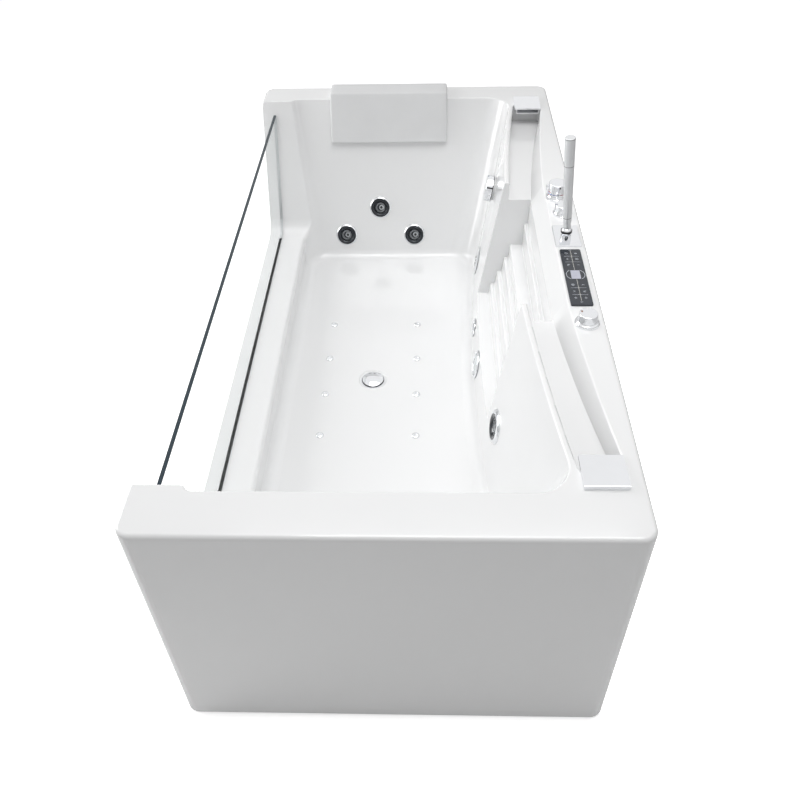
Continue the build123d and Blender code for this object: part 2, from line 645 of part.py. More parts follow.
# Water pipes: from the suction cover to the pump, and from the pump to the jets
suction_corner = behind(suction_seat, depth_at(suction_seat, "X", PUMP_X))
with BuildPart() as suction_pipe:
    suction_run = [(PUMP_X, inlet_end, PUMP_Z), suction_corner, behind(suction_seat, HOUSING_DEPTH)]
    add(pipe(suction_run, PIPE, PIPE_BEND))
keep(suction_pipe, "suction_pipe")

outlet_top = PUMP_Z + VOLUTE_RADIUS + UNION_LENGTH
side_seat = jet_seats["side_jet"]
side_corner = behind(side_seat, depth_at(side_seat, "X", OUTLET_X))
side_run = [
    (OUTLET_X, OUTLET_Y, MAIN_Z),
    (OUTLET_X, side_corner[1], MAIN_Z),
    side_corner,
    behind(side_seat, HOUSING_DEPTH),
]
main_end = (BACK_JETS["left"][0] - PIPE, MAIN_BACK, MAIN_Z)
back_run = [(OUTLET_X, OUTLET_Y, MAIN_Z), (OUTLET_X, MAIN_BACK, MAIN_Z), main_end]
with BuildPart() as delivery_pipe:
    with BuildSketch(Plane((OUTLET_X, OUTLET_Y, outlet_top))):
        Circle(PIPE)
    extrude(amount=MAIN_Z + PIPE - outlet_top)
    add(pipe(side_run, JET_PIPE, JET_BEND))
    add(pipe(back_run, JET_PIPE, JET_BEND))
    for side in BACK_JETS:
        seat = jet_seats[f"back_jet_{side}"]
        corner = behind(seat, depth_at(seat, "Y", MAIN_BACK))
        drop = [(corner[0], MAIN_BACK, MAIN_Z), corner, behind(seat, HOUSING_DEPTH)]
        add(pipe(drop, DROP_PIPE, DROP_BEND))
keep(delivery_pipe, "delivery_pipe")

# Air: blower drum with its domed cap, and the pipe that feeds the floor jets
with BuildPart() as air_blower:
    with BuildSketch(Plane((BLOWER[0], BLOWER[1], tray_top))):
        Circle(BLOWER_RADIUS)
    extrude(amount=BLOWER_HEIGHT)
    fillet(air_blower.edges().group_by(Axis.Z)[-1], BLOWER_ROUND)
    with BuildSketch(Plane((BLOWER[0], BLOWER[1], tray_top + BLOWER_HEIGHT))):
        with PolarLocations(BLOWER_SLOT_PLACE, FAN_SLOTS):
            SlotOverall(FAN_SLOT_LENGTH, FAN_SLOT_WIDTH)
    extrude(amount=-FAN_SLOT_DEPTH, mode=Mode.SUBTRACT)
keep(air_blower, "air_blower")

air_main = [
    (AIR_JET_X[1], AIR_PIPE_START, AIR_PIPE_Z),
    (AIR_JET_X[1], AIR_TURN, AIR_PIPE_Z),
    (AIR_RISER, AIR_TURN, AIR_PIPE_Z),
    (AIR_RISER, AIR_TURN, AIR_FEED_Z),
    (AIR_RISER, BLOWER[1] - BLOWER_RADIUS + FITTING_FIT, AIR_FEED_Z),
]
air_branch = [
    (AIR_JET_X[0], AIR_PIPE_START, AIR_PIPE_Z),
    (AIR_JET_X[0], AIR_JOIN, AIR_PIPE_Z),
    (AIR_JET_X[1], AIR_JOIN, AIR_PIPE_Z),
]
with BuildPart() as air_pipe:
    add(pipe(air_main, AIR_PIPE, AIR_BEND))
    add(pipe(air_branch, AIR_PIPE, AIR_BEND))
keep(air_pipe, "air_pipe")

with BuildPart() as air_jet_bodies:
    with BuildSketch(Plane.XY.offset(FLOOR - SHEET - FITTING_FIT)):
        with Locations(*air_jet_places):
            Circle(AIR_BODY_RADIUS)
    extrude(amount=-NUT_HEIGHT)
    with BuildSketch(Plane.XY.offset(FLOOR - SHEET - FITTING_FIT)):
        with Locations(*air_jet_places):
            Circle(AIR_STEM)
    extrude(amount=AIR_PIPE_Z + AIR_PIPE - FLOOR + SHEET)
keep(air_jet_bodies, "air_jet_bodies")

air_cap_dip = AIR_CAP_HEIGHT - 1
air_cap_stem = AIR_JET_HOLE - FITTING_FIT
with BuildPart() as air_jet_cap:
    with BuildSketch(Plane.XZ):
        with BuildLine():
            Polyline((0, air_cap_dip), (AIR_HOLE_RING, air_cap_dip), (AIR_HOLE_RING + 1, AIR_CAP_HEIGHT))
            Spline((AIR_HOLE_RING + 1, AIR_CAP_HEIGHT), (AIR_JET_CAP, 0), tangents=((1, 0), (0, -1)))
            Polyline((AIR_JET_CAP, 0), (air_cap_stem, 0), (air_cap_stem, -SHEET))
            Polyline((air_cap_stem, -SHEET), (0, -SHEET), (0, air_cap_dip))
        make_face()
    revolve(axis=Axis.Z)
with BuildPart() as air_jet_caps:
    with Locations(*[(x, y, FLOOR) for x, y in air_jet_places]):
        add(air_jet_cap.part)
keep(air_jet_caps, "air_jet_caps")

with BuildPart() as control_box:
    with BuildSketch(Plane((CONTROL_BOX[0], CONTROL_BOX[1], tray_top))):
        RectangleRounded(BOX_WIDTH, BOX_LENGTH, TRAY_ROUND)
    extrude(amount=BOX_HEIGHT)
    fillet(control_box.edges().group_by(Axis.Z)[-1], TRAY_ROUND / 2)
keep(control_box, "control_box")

# Waste: flange in the floor dish, lifting plug, trap, overflow and their pipes
drain_axis = Plane((DRAIN[0], DRAIN[1], 0))
dish_level = FLOOR - DISH
with BuildPart() as flange_ring:
    with BuildSketch(Plane.XZ):
        with BuildLine():
            Polyline(
                (PLUG_SEAT, dish_level - BARREL), (DRAIN_HOLE - FITTING_FIT, dish_level - BARREL),
                (DRAIN_HOLE - FITTING_FIT, dish_level), (FLANGE, dish_level),
                (FLANGE - 1, dish_level + FLANGE_SHEET),
                (PLUG_SEAT + 1, dish_level + FLANGE_SHEET), (PLUG_SEAT, dish_level), close=True,
            )
        make_face()
    revolve(axis=Axis.Z)
with BuildPart() as drain_flange:
    with Locations(drain_axis):
        add(flange_ring.part)
keep(drain_flange, "drain_flange")

plug_level = dish_level + FLANGE_SHEET + FITTING_FIT
with BuildPart() as plug_form:
    with BuildSketch(Plane.XZ):
        with BuildLine():
            dome = RadiusArc((0, plug_level + PLUG_DOME), (PLUG, plug_level + PLUG_EDGE), PLUG_CROWN)
            Polyline(dome @ 1, (PLUG, plug_level), (STEM, plug_level), (STEM, plug_level - STEM_LENGTH))
            Polyline((STEM, plug_level - STEM_LENGTH), (0, plug_level - STEM_LENGTH), dome @ 0)
        make_face()
    revolve(axis=Axis.Z)
with BuildPart() as drain_plug:
    with Locations(drain_axis):
        add(plug_form.part)
keep(drain_plug, "drain_plug")

trap_top = FLOOR - SHEET - FITTING_FIT
with BuildPart() as drain_trap:
    with BuildSketch(Plane((DRAIN[0], DRAIN[1], TRAP_BOTTOM))):
        Circle(TRAP_CUP)
    extrude(amount=trap_top - TRAP_BOTTOM)
    with BuildSketch(Plane((DRAIN[0], DRAIN[1], trap_top))):
        Circle(TRAP_RADIUS)
    extrude(amount=-NUT_HEIGHT)
    with BuildSketch(Plane((DRAIN[0], DRAIN[1], trap_top))):
        Circle(DRAIN_HOLE)
    extrude(amount=-TRAP_DEPTH, mode=Mode.SUBTRACT)
    fillet(drain_trap.edges().group_by(Axis.Z)[0], TRAY_ROUND)
keep(drain_trap, "drain_trap")

with BuildPart() as waste_pipe:
    with BuildSketch(along_x(DRAIN[0] + TRAP_CUP - FITTING_FIT, DRAIN[1], WASTE_Z)):
        Circle(WASTE)
        Circle(WASTE - WASTE_WALL, mode=Mode.SUBTRACT)
    extrude(amount=WASTE_END - DRAIN[0] - TRAP_CUP + FITTING_FIT)
    with BuildSketch(along_x(WASTE_END - SPIGOT, DRAIN[1], WASTE_Z)):
        Circle(SPIGOT_COLLAR)
        Circle(WASTE - WASTE_WALL, mode=Mode.SUBTRACT)
    extrude(amount=-BARREL)
keep(waste_pipe, "waste_pipe")

with BuildPart() as overflow_form:
    with BuildSketch(Plane.XY.offset(HOUSING_FACE)):
        Circle(OVERFLOW_BODY)
    extrude(amount=-OVERFLOW_DEPTH)
    fillet(overflow_form.edges().group_by(Axis.Z)[0], STEP_ROUND)
    with BuildSketch(Plane.XZ):
        with Locations((0, HOUSING_FACE - OVERFLOW_DEPTH / 2)):
            Circle(OVERFLOW_PIPE)
    extrude(amount=OVERFLOW_STUB)
    with BuildSketch(Plane.XY.offset(HOUSING_FACE)):
        Circle(JET_HOLE - FITTING_FIT)
    extrude(amount=ROSETTE - HOUSING_FACE)
    with BuildSketch(Plane.XY):
        Circle(ROSETTE_RADIUS)
    extrude(amount=ROSETTE)
    with BuildSketch(Plane.XY.offset(ROSETTE)):
        Circle(SPINDLE)
    extrude(amount=SPINDLE_LENGTH)
with BuildPart() as overflow_body:
    with Locations(overflow_seat):
        add(overflow_form.part)
keep(overflow_body, "overflow_body")

with BuildPart() as overflow_cap:
    with BuildSketch(Plane.XY.offset(ROSETTE + FITTING_FIT)):
        Circle(OVERFLOW_KNOB)
    extrude(amount=OVERFLOW_KNOB_HEIGHT)
    fillet(overflow_cap.edges().group_by(Axis.Z)[-1], KNOB_ROUND)
    with BuildSketch(Plane.XY.offset(ROSETTE + FITTING_FIT + OVERFLOW_KNOB_HEIGHT)):
        with PolarLocations(OVERFLOW_KNOB, 2, start_angle=90):
            Rectangle(NOTCH_LENGTH, NOTCH_WIDTH)
    extrude(amount=-NOTCH_DEPTH, mode=Mode.SUBTRACT)
    with BuildSketch(Plane.XY.offset(ROSETTE)):
        Circle(SPINDLE + FITTING_FIT)
    extrude(amount=SPINDLE_LENGTH + 1, mode=Mode.SUBTRACT)
with BuildPart() as overflow_knob:
    with Locations(overflow_seat):
        add(overflow_cap.part)
keep(overflow_knob, "overflow_knob")

overflow_stub = overflow_seat.from_local_coords(Vector(0, -OVERFLOW_STUB, HOUSING_FACE - OVERFLOW_DEPTH / 2))
overflow_run = [
    tuple(overflow_stub),
    (overflow_stub.X, overflow_stub.Y, OVERFLOW_BEND_Z),
    (OVERFLOW_DROP[0], OVERFLOW_DROP[1], OVERFLOW_JOG_Z),
    (OVERFLOW_DROP[0], OVERFLOW_DROP[1], WASTE_Z),
    (DRAIN[0], OVERFLOW_DROP[1], WASTE_Z),
    (DRAIN[0], DRAIN[1] + TRAP_CUP - FITTING_FIT, WASTE_Z),
]
with BuildPart() as overflow_pipe:
    add(pipe(overflow_run, OVERFLOW_PIPE, AIR_BEND))
keep(overflow_pipe, "overflow_pipe")

# Jets: chrome bezel in the wall, swivelling nozzle in its bore, and the housing behind
def bezel(flange):
    """Domed ring of a jet with its barrel through the wall, in the fitting's own frame."""
    barrel = JET_HOLE - FITTING_FIT
    with BuildPart() as ring:
        with BuildSketch(Plane.XZ):
            with BuildLine():
                crown = ThreePointArc((flange, 1), (flange - BEZEL_CROWN, BEZEL_CROWN), (JET_BORE, 1))
                Polyline(crown @ 1, (JET_BORE, -BEZEL_BARREL), (barrel, -BEZEL_BARREL))
                Polyline((barrel, -BEZEL_BARREL), (barrel, 0), (flange, 0), crown @ 0)
            make_face()
        revolve(axis=Axis.Z)
    return ring.part


jet_flanges = {name: JET_FLANGE for name in jet_seats} | {"side_jet": SIDE_JET_FLANGE}

ball_front = math.sqrt(JET_BALL**2 - BALL_FRONT**2)
ball_back = math.sqrt(JET_BALL**2 - BALL_BACK**2)
with BuildPart() as nozzle_form:
    with BuildSketch(Plane.XZ):
        with BuildLine():
            ball = ThreePointArc((ball_back, -BALL_BACK), (JET_BALL, 0), (ball_front, BALL_FRONT))
            Polyline(ball @ 1, (ball_front - 2, BALL_FRONT), (JET_BALL / 2, DISH_FLOOR), (0, DISH_FLOOR))
            Polyline((0, DISH_FLOOR), (0, -BALL_BACK), ball @ 0)
        make_face()
    revolve(axis=Axis.Z)
    with BuildSketch(Plane.XY):
        with Locations((SPOUT_OFFSET, 0)):
            Circle(JET_SPOUT + SPOUT_WALL)
    extrude(amount=BALL_FRONT + 1)
    with BuildSketch(Plane.XY.offset(-BALL_BACK)):
        with Locations((SPOUT_OFFSET, 0)):
            Circle(JET_SPOUT)
    extrude(amount=2 * JET_BALL, mode=Mode.SUBTRACT)

with BuildPart() as housing_form:
    with BuildSketch(Plane.XY.offset(HOUSING_FACE)):
        Circle(HOUSING)
    extrude(amount=-HOUSING_DEPTH - HOUSING_FACE)
    with BuildSketch(along_x(0, 0, AIR_BARB_Z)):
        Circle(AIR_BARB)
    extrude(amount=HOUSING + AIR_BARB_LENGTH)
    with BuildSketch(Plane.XY.offset(HOUSING_FACE)):
        Circle(JET_HOLE)
    extrude(amount=-HOUSING_RECESS, mode=Mode.SUBTRACT)

for name, seat in jet_seats.items():
    with BuildPart() as jet_bezel:
        with Locations(seat):
            add(bezel(jet_flanges[name]))
    keep(jet_bezel, f"{name}_bezel")
    with BuildPart() as jet_nozzle:
        with Locations(seat.offset(-BALL_DEPTH)):
            add(nozzle_form.part)
    keep(jet_nozzle, f"{name}_nozzle")
with BuildPart() as wall_housings:
    with Locations(*jet_seats.values(), suction_seat):
        add(housing_form.part)
keep(wall_housings, "wall_housings")

# Suction cover with radial slots
suction_barrel = JET_HOLE - FITTING_FIT
suction_bore = suction_barrel - SUCTION_WALL
with BuildPart() as suction_form:
    with BuildSketch(Plane.XZ):
        with BuildLine():
            crown = TangentArc((0, SUCTION_CROWN), (SUCTION_RADIUS, 1), tangent=(1, 0))
            Polyline(crown @ 1, (SUCTION_RADIUS, 0), (suction_barrel, 0), (suction_barrel, -BEZEL_BARREL))
            Polyline((suction_barrel, -BEZEL_BARREL), (suction_bore, -BEZEL_BARREL), (suction_bore, 1))
            Polyline((suction_bore, 1), (0, 1), crown @ 0)
        make_face()
    revolve(axis=Axis.Z)
    with BuildSketch(Plane.XY.offset(-1)):
        with PolarLocations(SUCTION_SLOT_PLACE, SUCTION_SLOTS):
            SlotOverall(SUCTION_SLOT_LENGTH, FAN_SLOT_WIDTH)
    extrude(amount=2 * SUCTION_CROWN, mode=Mode.SUBTRACT)
with BuildPart() as suction_cover:
    with Locations(suction_seat):
        add(suction_form.part)
keep(suction_cover, "suction_cover")

# Underwater light: domed lens in a chrome ring
with BuildPart() as lens_form:
    with BuildSketch(Plane.XZ):
        with BuildLine():
            dome = TangentArc((0, LENS_CROWN), (LENS, 1), tangent=(1, 0))
            Polyline(dome @ 1, (LENS, 0), (JET_HOLE - 1, 0), (JET_HOLE - 1, -LIGHT_DEPTH))
            Polyline((JET_HOLE - 1, -LIGHT_DEPTH), (0, -LIGHT_DEPTH), dome @ 0)
        make_face()
    revolve(axis=Axis.Z)
with BuildPart() as light_lens:
    with Locations(light_seat):
        add(lens_form.part)
keep(light_lens, "light_lens")

with BuildPart() as light_ring_form:
    with BuildSketch(Plane.XZ):
        with BuildLine():
            middle = (LIGHT_RING + LENS) / 2
            crown = ThreePointArc((LIGHT_RING, 1), (middle, BEZEL_CROWN), (LENS + FITTING_FIT, 1))
            Polyline(crown @ 1, (LENS + FITTING_FIT, 0), (LIGHT_RING, 0), crown @ 0)
        make_face()
    revolve(axis=Axis.Z)
with BuildPart() as light_ring:
    with Locations(light_seat):
        add(light_ring_form.part)
keep(light_ring, "light_ring")

# Water-level sensor: flat button in a ring, with its stem through the wall
with BuildPart() as sensor_form:
    with BuildSketch(Plane.XZ):
        with BuildLine():
            Polyline(
                (0, 1), (SENSOR_BUTTON, 1), (SENSOR_BUTTON, 0.5), (SENSOR_BUTTON + 2, 0.5),
                (SENSOR_BUTTON + 3, 3), (SENSOR_RADIUS - 3, 3), (SENSOR_RADIUS, 1), (SENSOR_RADIUS, 0),
                (SENSOR_HOLE - FITTING_FIT, 0),
                (SENSOR_HOLE - FITTING_FIT, -SENSOR_DEPTH), (0, -SENSOR_DEPTH), close=True,
            )
        make_face()
    revolve(axis=Axis.Z)
with BuildPart() as level_sensor:
    with Locations(sensor_seat):
        add(sensor_form.part)
keep(level_sensor, "level_sensor")

# Waterfall spouts: a sloping hood that overhangs the trough, with a wide mouth under it
with BuildPart() as head_spout:
    with BuildSketch(Plane.YZ.offset(SPOUT_LEFT)):
        with BuildLine():
            Polyline(
                (SPOUT_BACK, RIM), (SPOUT_BACK, SPOUT_TOP), (SPOUT_FRONT, SPOUT_NOSE), (SPOUT_FRONT, RIM),
                close=True,
            )
        make_face()
    extrude(amount=SPOUT_RIGHT - SPOUT_LEFT)
    fillet(head_spout.edges().group_by(Axis.Z)[-1] + head_spout.edges().filter_by(Axis.Z), SPOUT_ROUND)
    with BuildSketch(Plane.XY.offset(RIM)):
        with Locations((spout_middle, (SPOUT_FRONT + SPOUT_NECK) / 2)):
            Rectangle(SPOUT_MOUTH + 4, SPOUT_NECK - SPOUT_FRONT)
    extrude(amount=SPOUT_UNDER - RIM)
    with BuildSketch(Plane.XZ.offset(-SPOUT_FRONT)):
        with Locations((spout_middle, (SPOUT_UNDER + SPOUT_NOSE) / 2 - 1)):
            Rectangle(SPOUT_MOUTH, MOUTH_HEIGHT)
    extrude(amount=-MOUTH_DEPTH, mode=Mode.SUBTRACT)
    with BuildSketch(Plane((spout_middle, SPOUT_TAIL, RIM))):
        Circle(DECK_HOLE - 2)
    extrude(amount=-TAIL_LENGTH)
keep(head_spout, "head_spout")

with BuildPart() as foot_spout:
    mirror(head_spout.part, about=Plane.XZ)
keep(foot_spout, "foot_spout")

# Touch control panel: dark glass on the deck and its housing below
with BuildPart() as control_panel:
    with BuildSketch(Plane((PANEL[0], PANEL[1], RIM))):
        RectangleRounded(PANEL_WIDTH, PANEL_LENGTH, PANEL_CORNER)
    extrude(amount=PANEL_HEIGHT)
    chamfer(control_panel.edges().group_by(Axis.Z)[-1], GLASS_BEVEL)
keep(control_panel, "control_panel")

with BuildPart() as panel_housing:
    with BuildSketch(Plane((PANEL[0], PANEL[1], RIM))):
        Rectangle(PANEL_WIDTH - 2 * SHEET - 1, PANEL_LENGTH - 2 * SHEET - 1)
    extrude(amount=-PANEL_DEPTH)
keep(panel_housing, "panel_housing")

# Deck controls: fixed collars, and turning knobs on spindles that reach the valves below
def collar(radius, height):
    """Ring that trims the hole of a deck control."""
    with BuildPart() as ring:
        with BuildSketch(deck_top):
            Circle(radius)
            Circle(SPINDLE + FITTING_FIT, mode=Mode.SUBTRACT)
        extrude(amount=height)
        chamfer(ring.edges().group_by(Axis.Z)[-1].sort_by(SortBy.RADIUS)[-1], GLASS_BEVEL)
    return ring.part


def knob(skirt, waist, top, low, high):
    """Turned knob with a flared skirt, rounded top edge and a spindle."""
    with BuildPart() as turned:
        with BuildSketch(Plane.XZ):
            with BuildLine():
                slant = (top - waist, high - low)
                flare = Spline((skirt, low), (waist, low + SKIRT_RISE), tangents=((0, 1), slant))
                side = Line(flare @ 1, (top, high))
                Polyline(side @ 1, (0, high), (0, RIM - SPINDLE_LENGTH), (SPINDLE, RIM - SPINDLE_LENGTH))
                Polyline((SPINDLE, RIM - SPINDLE_LENGTH), (SPINDLE, low), flare @ 0)
            make_face()
        revolve(axis=Axis.Z)
        fillet(turned.edges().group_by(Axis.Z)[-1], KNOB_ROUND)
    return turned.part


with BuildPart() as knob_collars:
    for place, radius, height in (
        (FLOW_KNOB, FLOW_COLLAR, COLLAR),
        (THERMOSTAT, THERMOSTAT_COLLAR, 2 * COLLAR),
        (DIVERTER, DIVERTER_COLLAR, COLLAR),
    ):
        with Locations(place):
            add(collar(radius, height))
keep(knob_collars, "knob_collars")

with BuildPart() as flow_knob:
    with Locations(FLOW_KNOB):
        add(knob(FLOW_COLLAR - 1, FLOW_WAIST, FLOW_TOP, RIM + COLLAR + FITTING_FIT, RIM + FLOW_HEIGHT))
    with BuildSketch(Plane((FLOW_KNOB[0], FLOW_KNOB[1] + FLOW_TOP, RIM + FLOW_HEIGHT))):
        Rectangle(NOTCH_WIDTH / 2, NOTCH_LENGTH)
    extrude(amount=-NOTCH_DEPTH, mode=Mode.SUBTRACT)
keep(flow_knob, "flow_knob")

stop_foot = Plane((THERMOSTAT[0] - THERMOSTAT_WAIST, THERMOSTAT[1], RIM + STOP_BUTTON_Z))
with BuildPart() as thermostat_knob:
    with Locations(THERMOSTAT):
        low = RIM + 2 * COLLAR + FITTING_FIT
        add(knob(THERMOSTAT_COLLAR - 1, THERMOSTAT_WAIST, THERMOSTAT_TOP, low, RIM + THERMOSTAT_HEIGHT))
    with BuildSketch(stop_foot.offset(-FITTING_FIT)):
        with Locations((STOP_TRAVEL, 0)):
            Rectangle(STOP_BUTTON_LENGTH + 2 * FITTING_FIT, STOP_BUTTON_WIDTH + 2 * FITTING_FIT)
    extrude(amount=STOP_BUTTON_HEIGHT + 2 * FITTING_FIT, mode=Mode.SUBTRACT)
keep(thermostat_knob, "thermostat_knob")

# Temperature stop: the button that sits in a pocket of the thermostat knob and is pressed to pass its stop
with BuildPart() as stop_button:
    with BuildSketch(stop_foot):
        RectangleRounded(STOP_BUTTON_LENGTH, STOP_BUTTON_WIDTH, STOP_BUTTON_CORNER)
    extrude(amount=STOP_BUTTON_HEIGHT)
keep(stop_button, "stop_button")

with BuildPart() as diverter_knob:
    with Locations(DIVERTER):
        low = RIM + COLLAR + FITTING_FIT
        add(knob(DIVERTER_COLLAR - 1, DIVERTER_WAIST, DIVERTER_TOP, low, RIM + DIVERTER_HEIGHT))
    with BuildSketch(Plane((DIVERTER[0] - DIVERTER_TOP, DIVERTER[1], RIM + DIVERTER_HEIGHT))):
        Rectangle(NOTCH_LENGTH, NOTCH_WIDTH / 2)
    extrude(amount=-NOTCH_DEPTH, mode=Mode.SUBTRACT)
keep(diverter_knob, "diverter_knob")

# Valves under the deck: mixer bar with two inlet tails towards the wall, and the air valve
with BuildPart() as mixer_body:
    with BuildSketch(along_y(MIXER_X, MIXER_START, MIXER_Z)):
        Circle(MIXER_RADIUS)
    extrude(amount=MIXER_LENGTH)
    fillet(mixer_body.edges().filter_by(GeomType.CIRCLE), KNOB_ROUND)
    for place in (THERMOSTAT, DIVERTER):
        with BuildSketch(Plane((place[0], place[1], MIXER_Z))):
            Circle(DECK_HOLE - 1)
        extrude(amount=RIM - MIXER_Z - FITTING_FIT)
        with BuildSketch(Plane((place[0], place[1], RIM))):
            Circle(SPINDLE + FITTING_FIT)
        extrude(amount=-SPINDLE_LENGTH - 1, mode=Mode.SUBTRACT)
    for radius, end in ((UNION_NUT, UNION_NUT_END), (TAIL_RADIUS, TAIL_END)):
        with BuildSketch(along_x(MIXER_X, 0, MIXER_Z)):
            with Locations(*[(y, 0) for y in TAIL_Y]):
                Circle(radius)
        extrude(amount=end - MIXER_X)
keep(mixer_body, "mixer_body")

with BuildPart() as air_valve:
    with BuildSketch(Plane((FLOW_KNOB[0], FLOW_KNOB[1], RIM - FITTING_FIT))):
        Circle(DECK_HOLE - 1)
    extrude(amount=-PANEL_DEPTH - SPINDLE_LENGTH / 2)
    with BuildSketch(Plane((FLOW_KNOB[0], FLOW_KNOB[1], RIM - FITTING_FIT))):
        Circle(SPINDLE + FITTING_FIT)
    extrude(amount=-SPINDLE_LENGTH - 1, mode=Mode.SUBTRACT)
keep(air_valve, "air_valve")

# Hand shower: plate on the deck, ferrule with a ball seat, and the leaning wand
with BuildPart() as handset_plate:
    with BuildSketch(Plane((HANDSET_PLATE[0], HANDSET_PLATE[1], RIM))):
        RectangleRounded(PLATE_WIDTH, PLATE_LENGTH, PLATE_CORNER)
    extrude(amount=PLATE_HEIGHT)
    chamfer(handset_plate.edges().group_by(Axis.Z)[-1], GLASS_BEVEL)
keep(handset_plate, "handset_plate")

with BuildPart() as socket_form:
    with BuildSketch(Plane.XZ):
        with BuildLine():
            ball = ThreePointArc(
                (FERRULE_NECK, FERRULE_TOP), (BALL_SEAT, BALL_SEAT_Z), (FERRULE_NECK, BALL_TOP)
            )
            Polyline(ball @ 1, (0, BALL_TOP), (0, RIM + PLATE_HEIGHT), (FERRULE, RIM + PLATE_HEIGHT))
            Polyline((FERRULE, RIM + PLATE_HEIGHT), (FERRULE - 1, FERRULE_TOP), ball @ 0)
        make_face()
    revolve(axis=Axis.Z)
with BuildPart() as handset_socket:
    with Locations(HANDSET_SEAT):
        add(socket_form.part)
keep(handset_socket, "handset_socket")

lean = Vector(0, 0, 1).rotate(Axis.Y, -WAND_LEAN)
wand_plane = Plane(origin=(*HANDSET_SEAT, BALL_TOP), x_dir=(0, 1, 0), z_dir=lean)
with BuildPart() as wand_form:
    with BuildSketch(Plane.XZ):
        with BuildLine():
            collar_side = Polyline(
                (0, WAND_GAP), (WAND_COLLAR, WAND_GAP), (WAND_COLLAR, WAND_START - 1), (WAND_FOOT, WAND_START)
            )
            side = Line(collar_side @ 1, (WAND_TIP, WAND_START + WAND_LENGTH))
            Polyline(side @ 1, (0, WAND_START + WAND_LENGTH), collar_side @ 0)
        make_face()
    revolve(axis=Axis.Z)
    fillet(wand_form.edges().group_by(Axis.Z)[-1], GLASS_BEVEL)
    with BuildSketch(Plane.YZ.offset(WAND_TIP)):
        with Locations((0, WAND_START + WAND_LENGTH - SPRAY_LENGTH)):
            SlotOverall(SPRAY_LENGTH, SPRAY_WIDTH, rotation=90)
    extrude(amount=-SPRAY_DEPTH, mode=Mode.SUBTRACT)
with BuildPart() as hand_shower:
    with Locations(wand_plane):
        add(wand_form.part)
keep(hand_shower, "hand_shower")

# Head pillow: foam pad bent over the rim, lying on the backrest and the deck
def backrest(z):
    """Place along the bath of the backrest face at a height."""
    return FLOOR_FAR + (z - FLOOR) * (RIM_FAR - FLOOR_FAR) / (RIM - FLOOR)


slope = Vector(0, RIM_FAR - FLOOR_FAR, RIM - FLOOR).normalized()
away = Vector(0, -slope.Z, slope.Y)
pillow_top = RIM + PILLOW_THICK
pad_low = Vector(0, backrest(PILLOW_BOTTOM), PILLOW_BOTTOM) + away * FITTING_FIT
front_low = pad_low + away * PILLOW_PROUD
front_high = front_low + slope * ((pillow_top - front_low.Z) / slope.Z)
rim_corner = Vector(0, backrest(RIM), RIM) + away * FITTING_FIT
with BuildPart() as head_pillow:
    with BuildSketch(Plane.YZ.offset(PILLOW_LEFT)) as pad:
        with BuildLine():
            Polyline(
                (pad_low.Y, pad_low.Z), (front_low.Y, front_low.Z), (front_high.Y, front_high.Z),
                (PILLOW_BACK, pillow_top), (PILLOW_BACK, RIM + FITTING_FIT),
                (rim_corner.Y, RIM + FITTING_FIT), close=True,
            )
        make_face()
        fillet(pad.vertices().sort_by(Axis.Y)[1:2] + pad.vertices().group_by(Axis.Y)[-1], PILLOW_EDGE)
    extrude(amount=PILLOW_RIGHT - PILLOW_LEFT)
keep(head_pillow, "head_pillow")
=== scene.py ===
import json
import math

import bpy
import numpy as np
from mathutils import Matrix


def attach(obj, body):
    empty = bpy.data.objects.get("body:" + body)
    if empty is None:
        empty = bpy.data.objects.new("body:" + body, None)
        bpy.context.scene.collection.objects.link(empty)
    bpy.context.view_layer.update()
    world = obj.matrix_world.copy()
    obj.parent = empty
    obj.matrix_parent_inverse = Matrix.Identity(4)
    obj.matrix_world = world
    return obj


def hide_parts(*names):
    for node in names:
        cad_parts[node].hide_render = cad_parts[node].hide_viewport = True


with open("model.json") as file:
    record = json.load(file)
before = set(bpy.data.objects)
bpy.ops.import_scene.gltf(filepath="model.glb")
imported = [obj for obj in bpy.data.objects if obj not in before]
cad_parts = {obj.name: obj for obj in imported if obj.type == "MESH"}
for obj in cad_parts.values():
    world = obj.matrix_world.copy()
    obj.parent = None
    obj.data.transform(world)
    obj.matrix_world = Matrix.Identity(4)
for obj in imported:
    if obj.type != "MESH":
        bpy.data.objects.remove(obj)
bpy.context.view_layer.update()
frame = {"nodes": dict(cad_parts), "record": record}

nodes = frame["nodes"]

# Camera fitted to the straight edges of the bath
EYE = (0.0651, -1.5997, 1.6088)
YAW, PITCH, ROLL = -0.0440, 0.7604, -0.0281
LENS = 36.36


def set_camera():
    """Camera whose view direction comes from yaw and pitch, then turned about it by roll."""
    forward = np.array([math.sin(YAW) * math.cos(PITCH), math.cos(YAW) * math.cos(PITCH), -math.sin(PITCH)])
    right = np.array([math.cos(YAW), -math.sin(YAW), 0.0])
    up = np.cross(right, forward)
    level_right = right * math.cos(ROLL) + up * math.sin(ROLL)
    level_up = up * math.cos(ROLL) - right * math.sin(ROLL)
    turn = np.stack([level_right, level_up, -forward], axis=1)
    data = bpy.data.cameras.new("camera")
    data.lens = LENS
    data.sensor_width = 36.0
    data.clip_start = 0.05
    camera = bpy.data.objects.new("camera", data)
    camera.matrix_world = Matrix.Translation(EYE) @ Matrix(turn.tolist()).to_4x4()
    bpy.context.scene.collection.objects.link(camera)
    bpy.context.scene.camera = camera


set_camera()
bpy.context.scene.view_settings.view_transform = "Standard"


# Meshes
CORNERS = np.array([[1, 1], [-1, 1], [-1, -1], [1, -1]])
LONGEST_EASE = 0.45
TURNED_ANGLE = 35.0


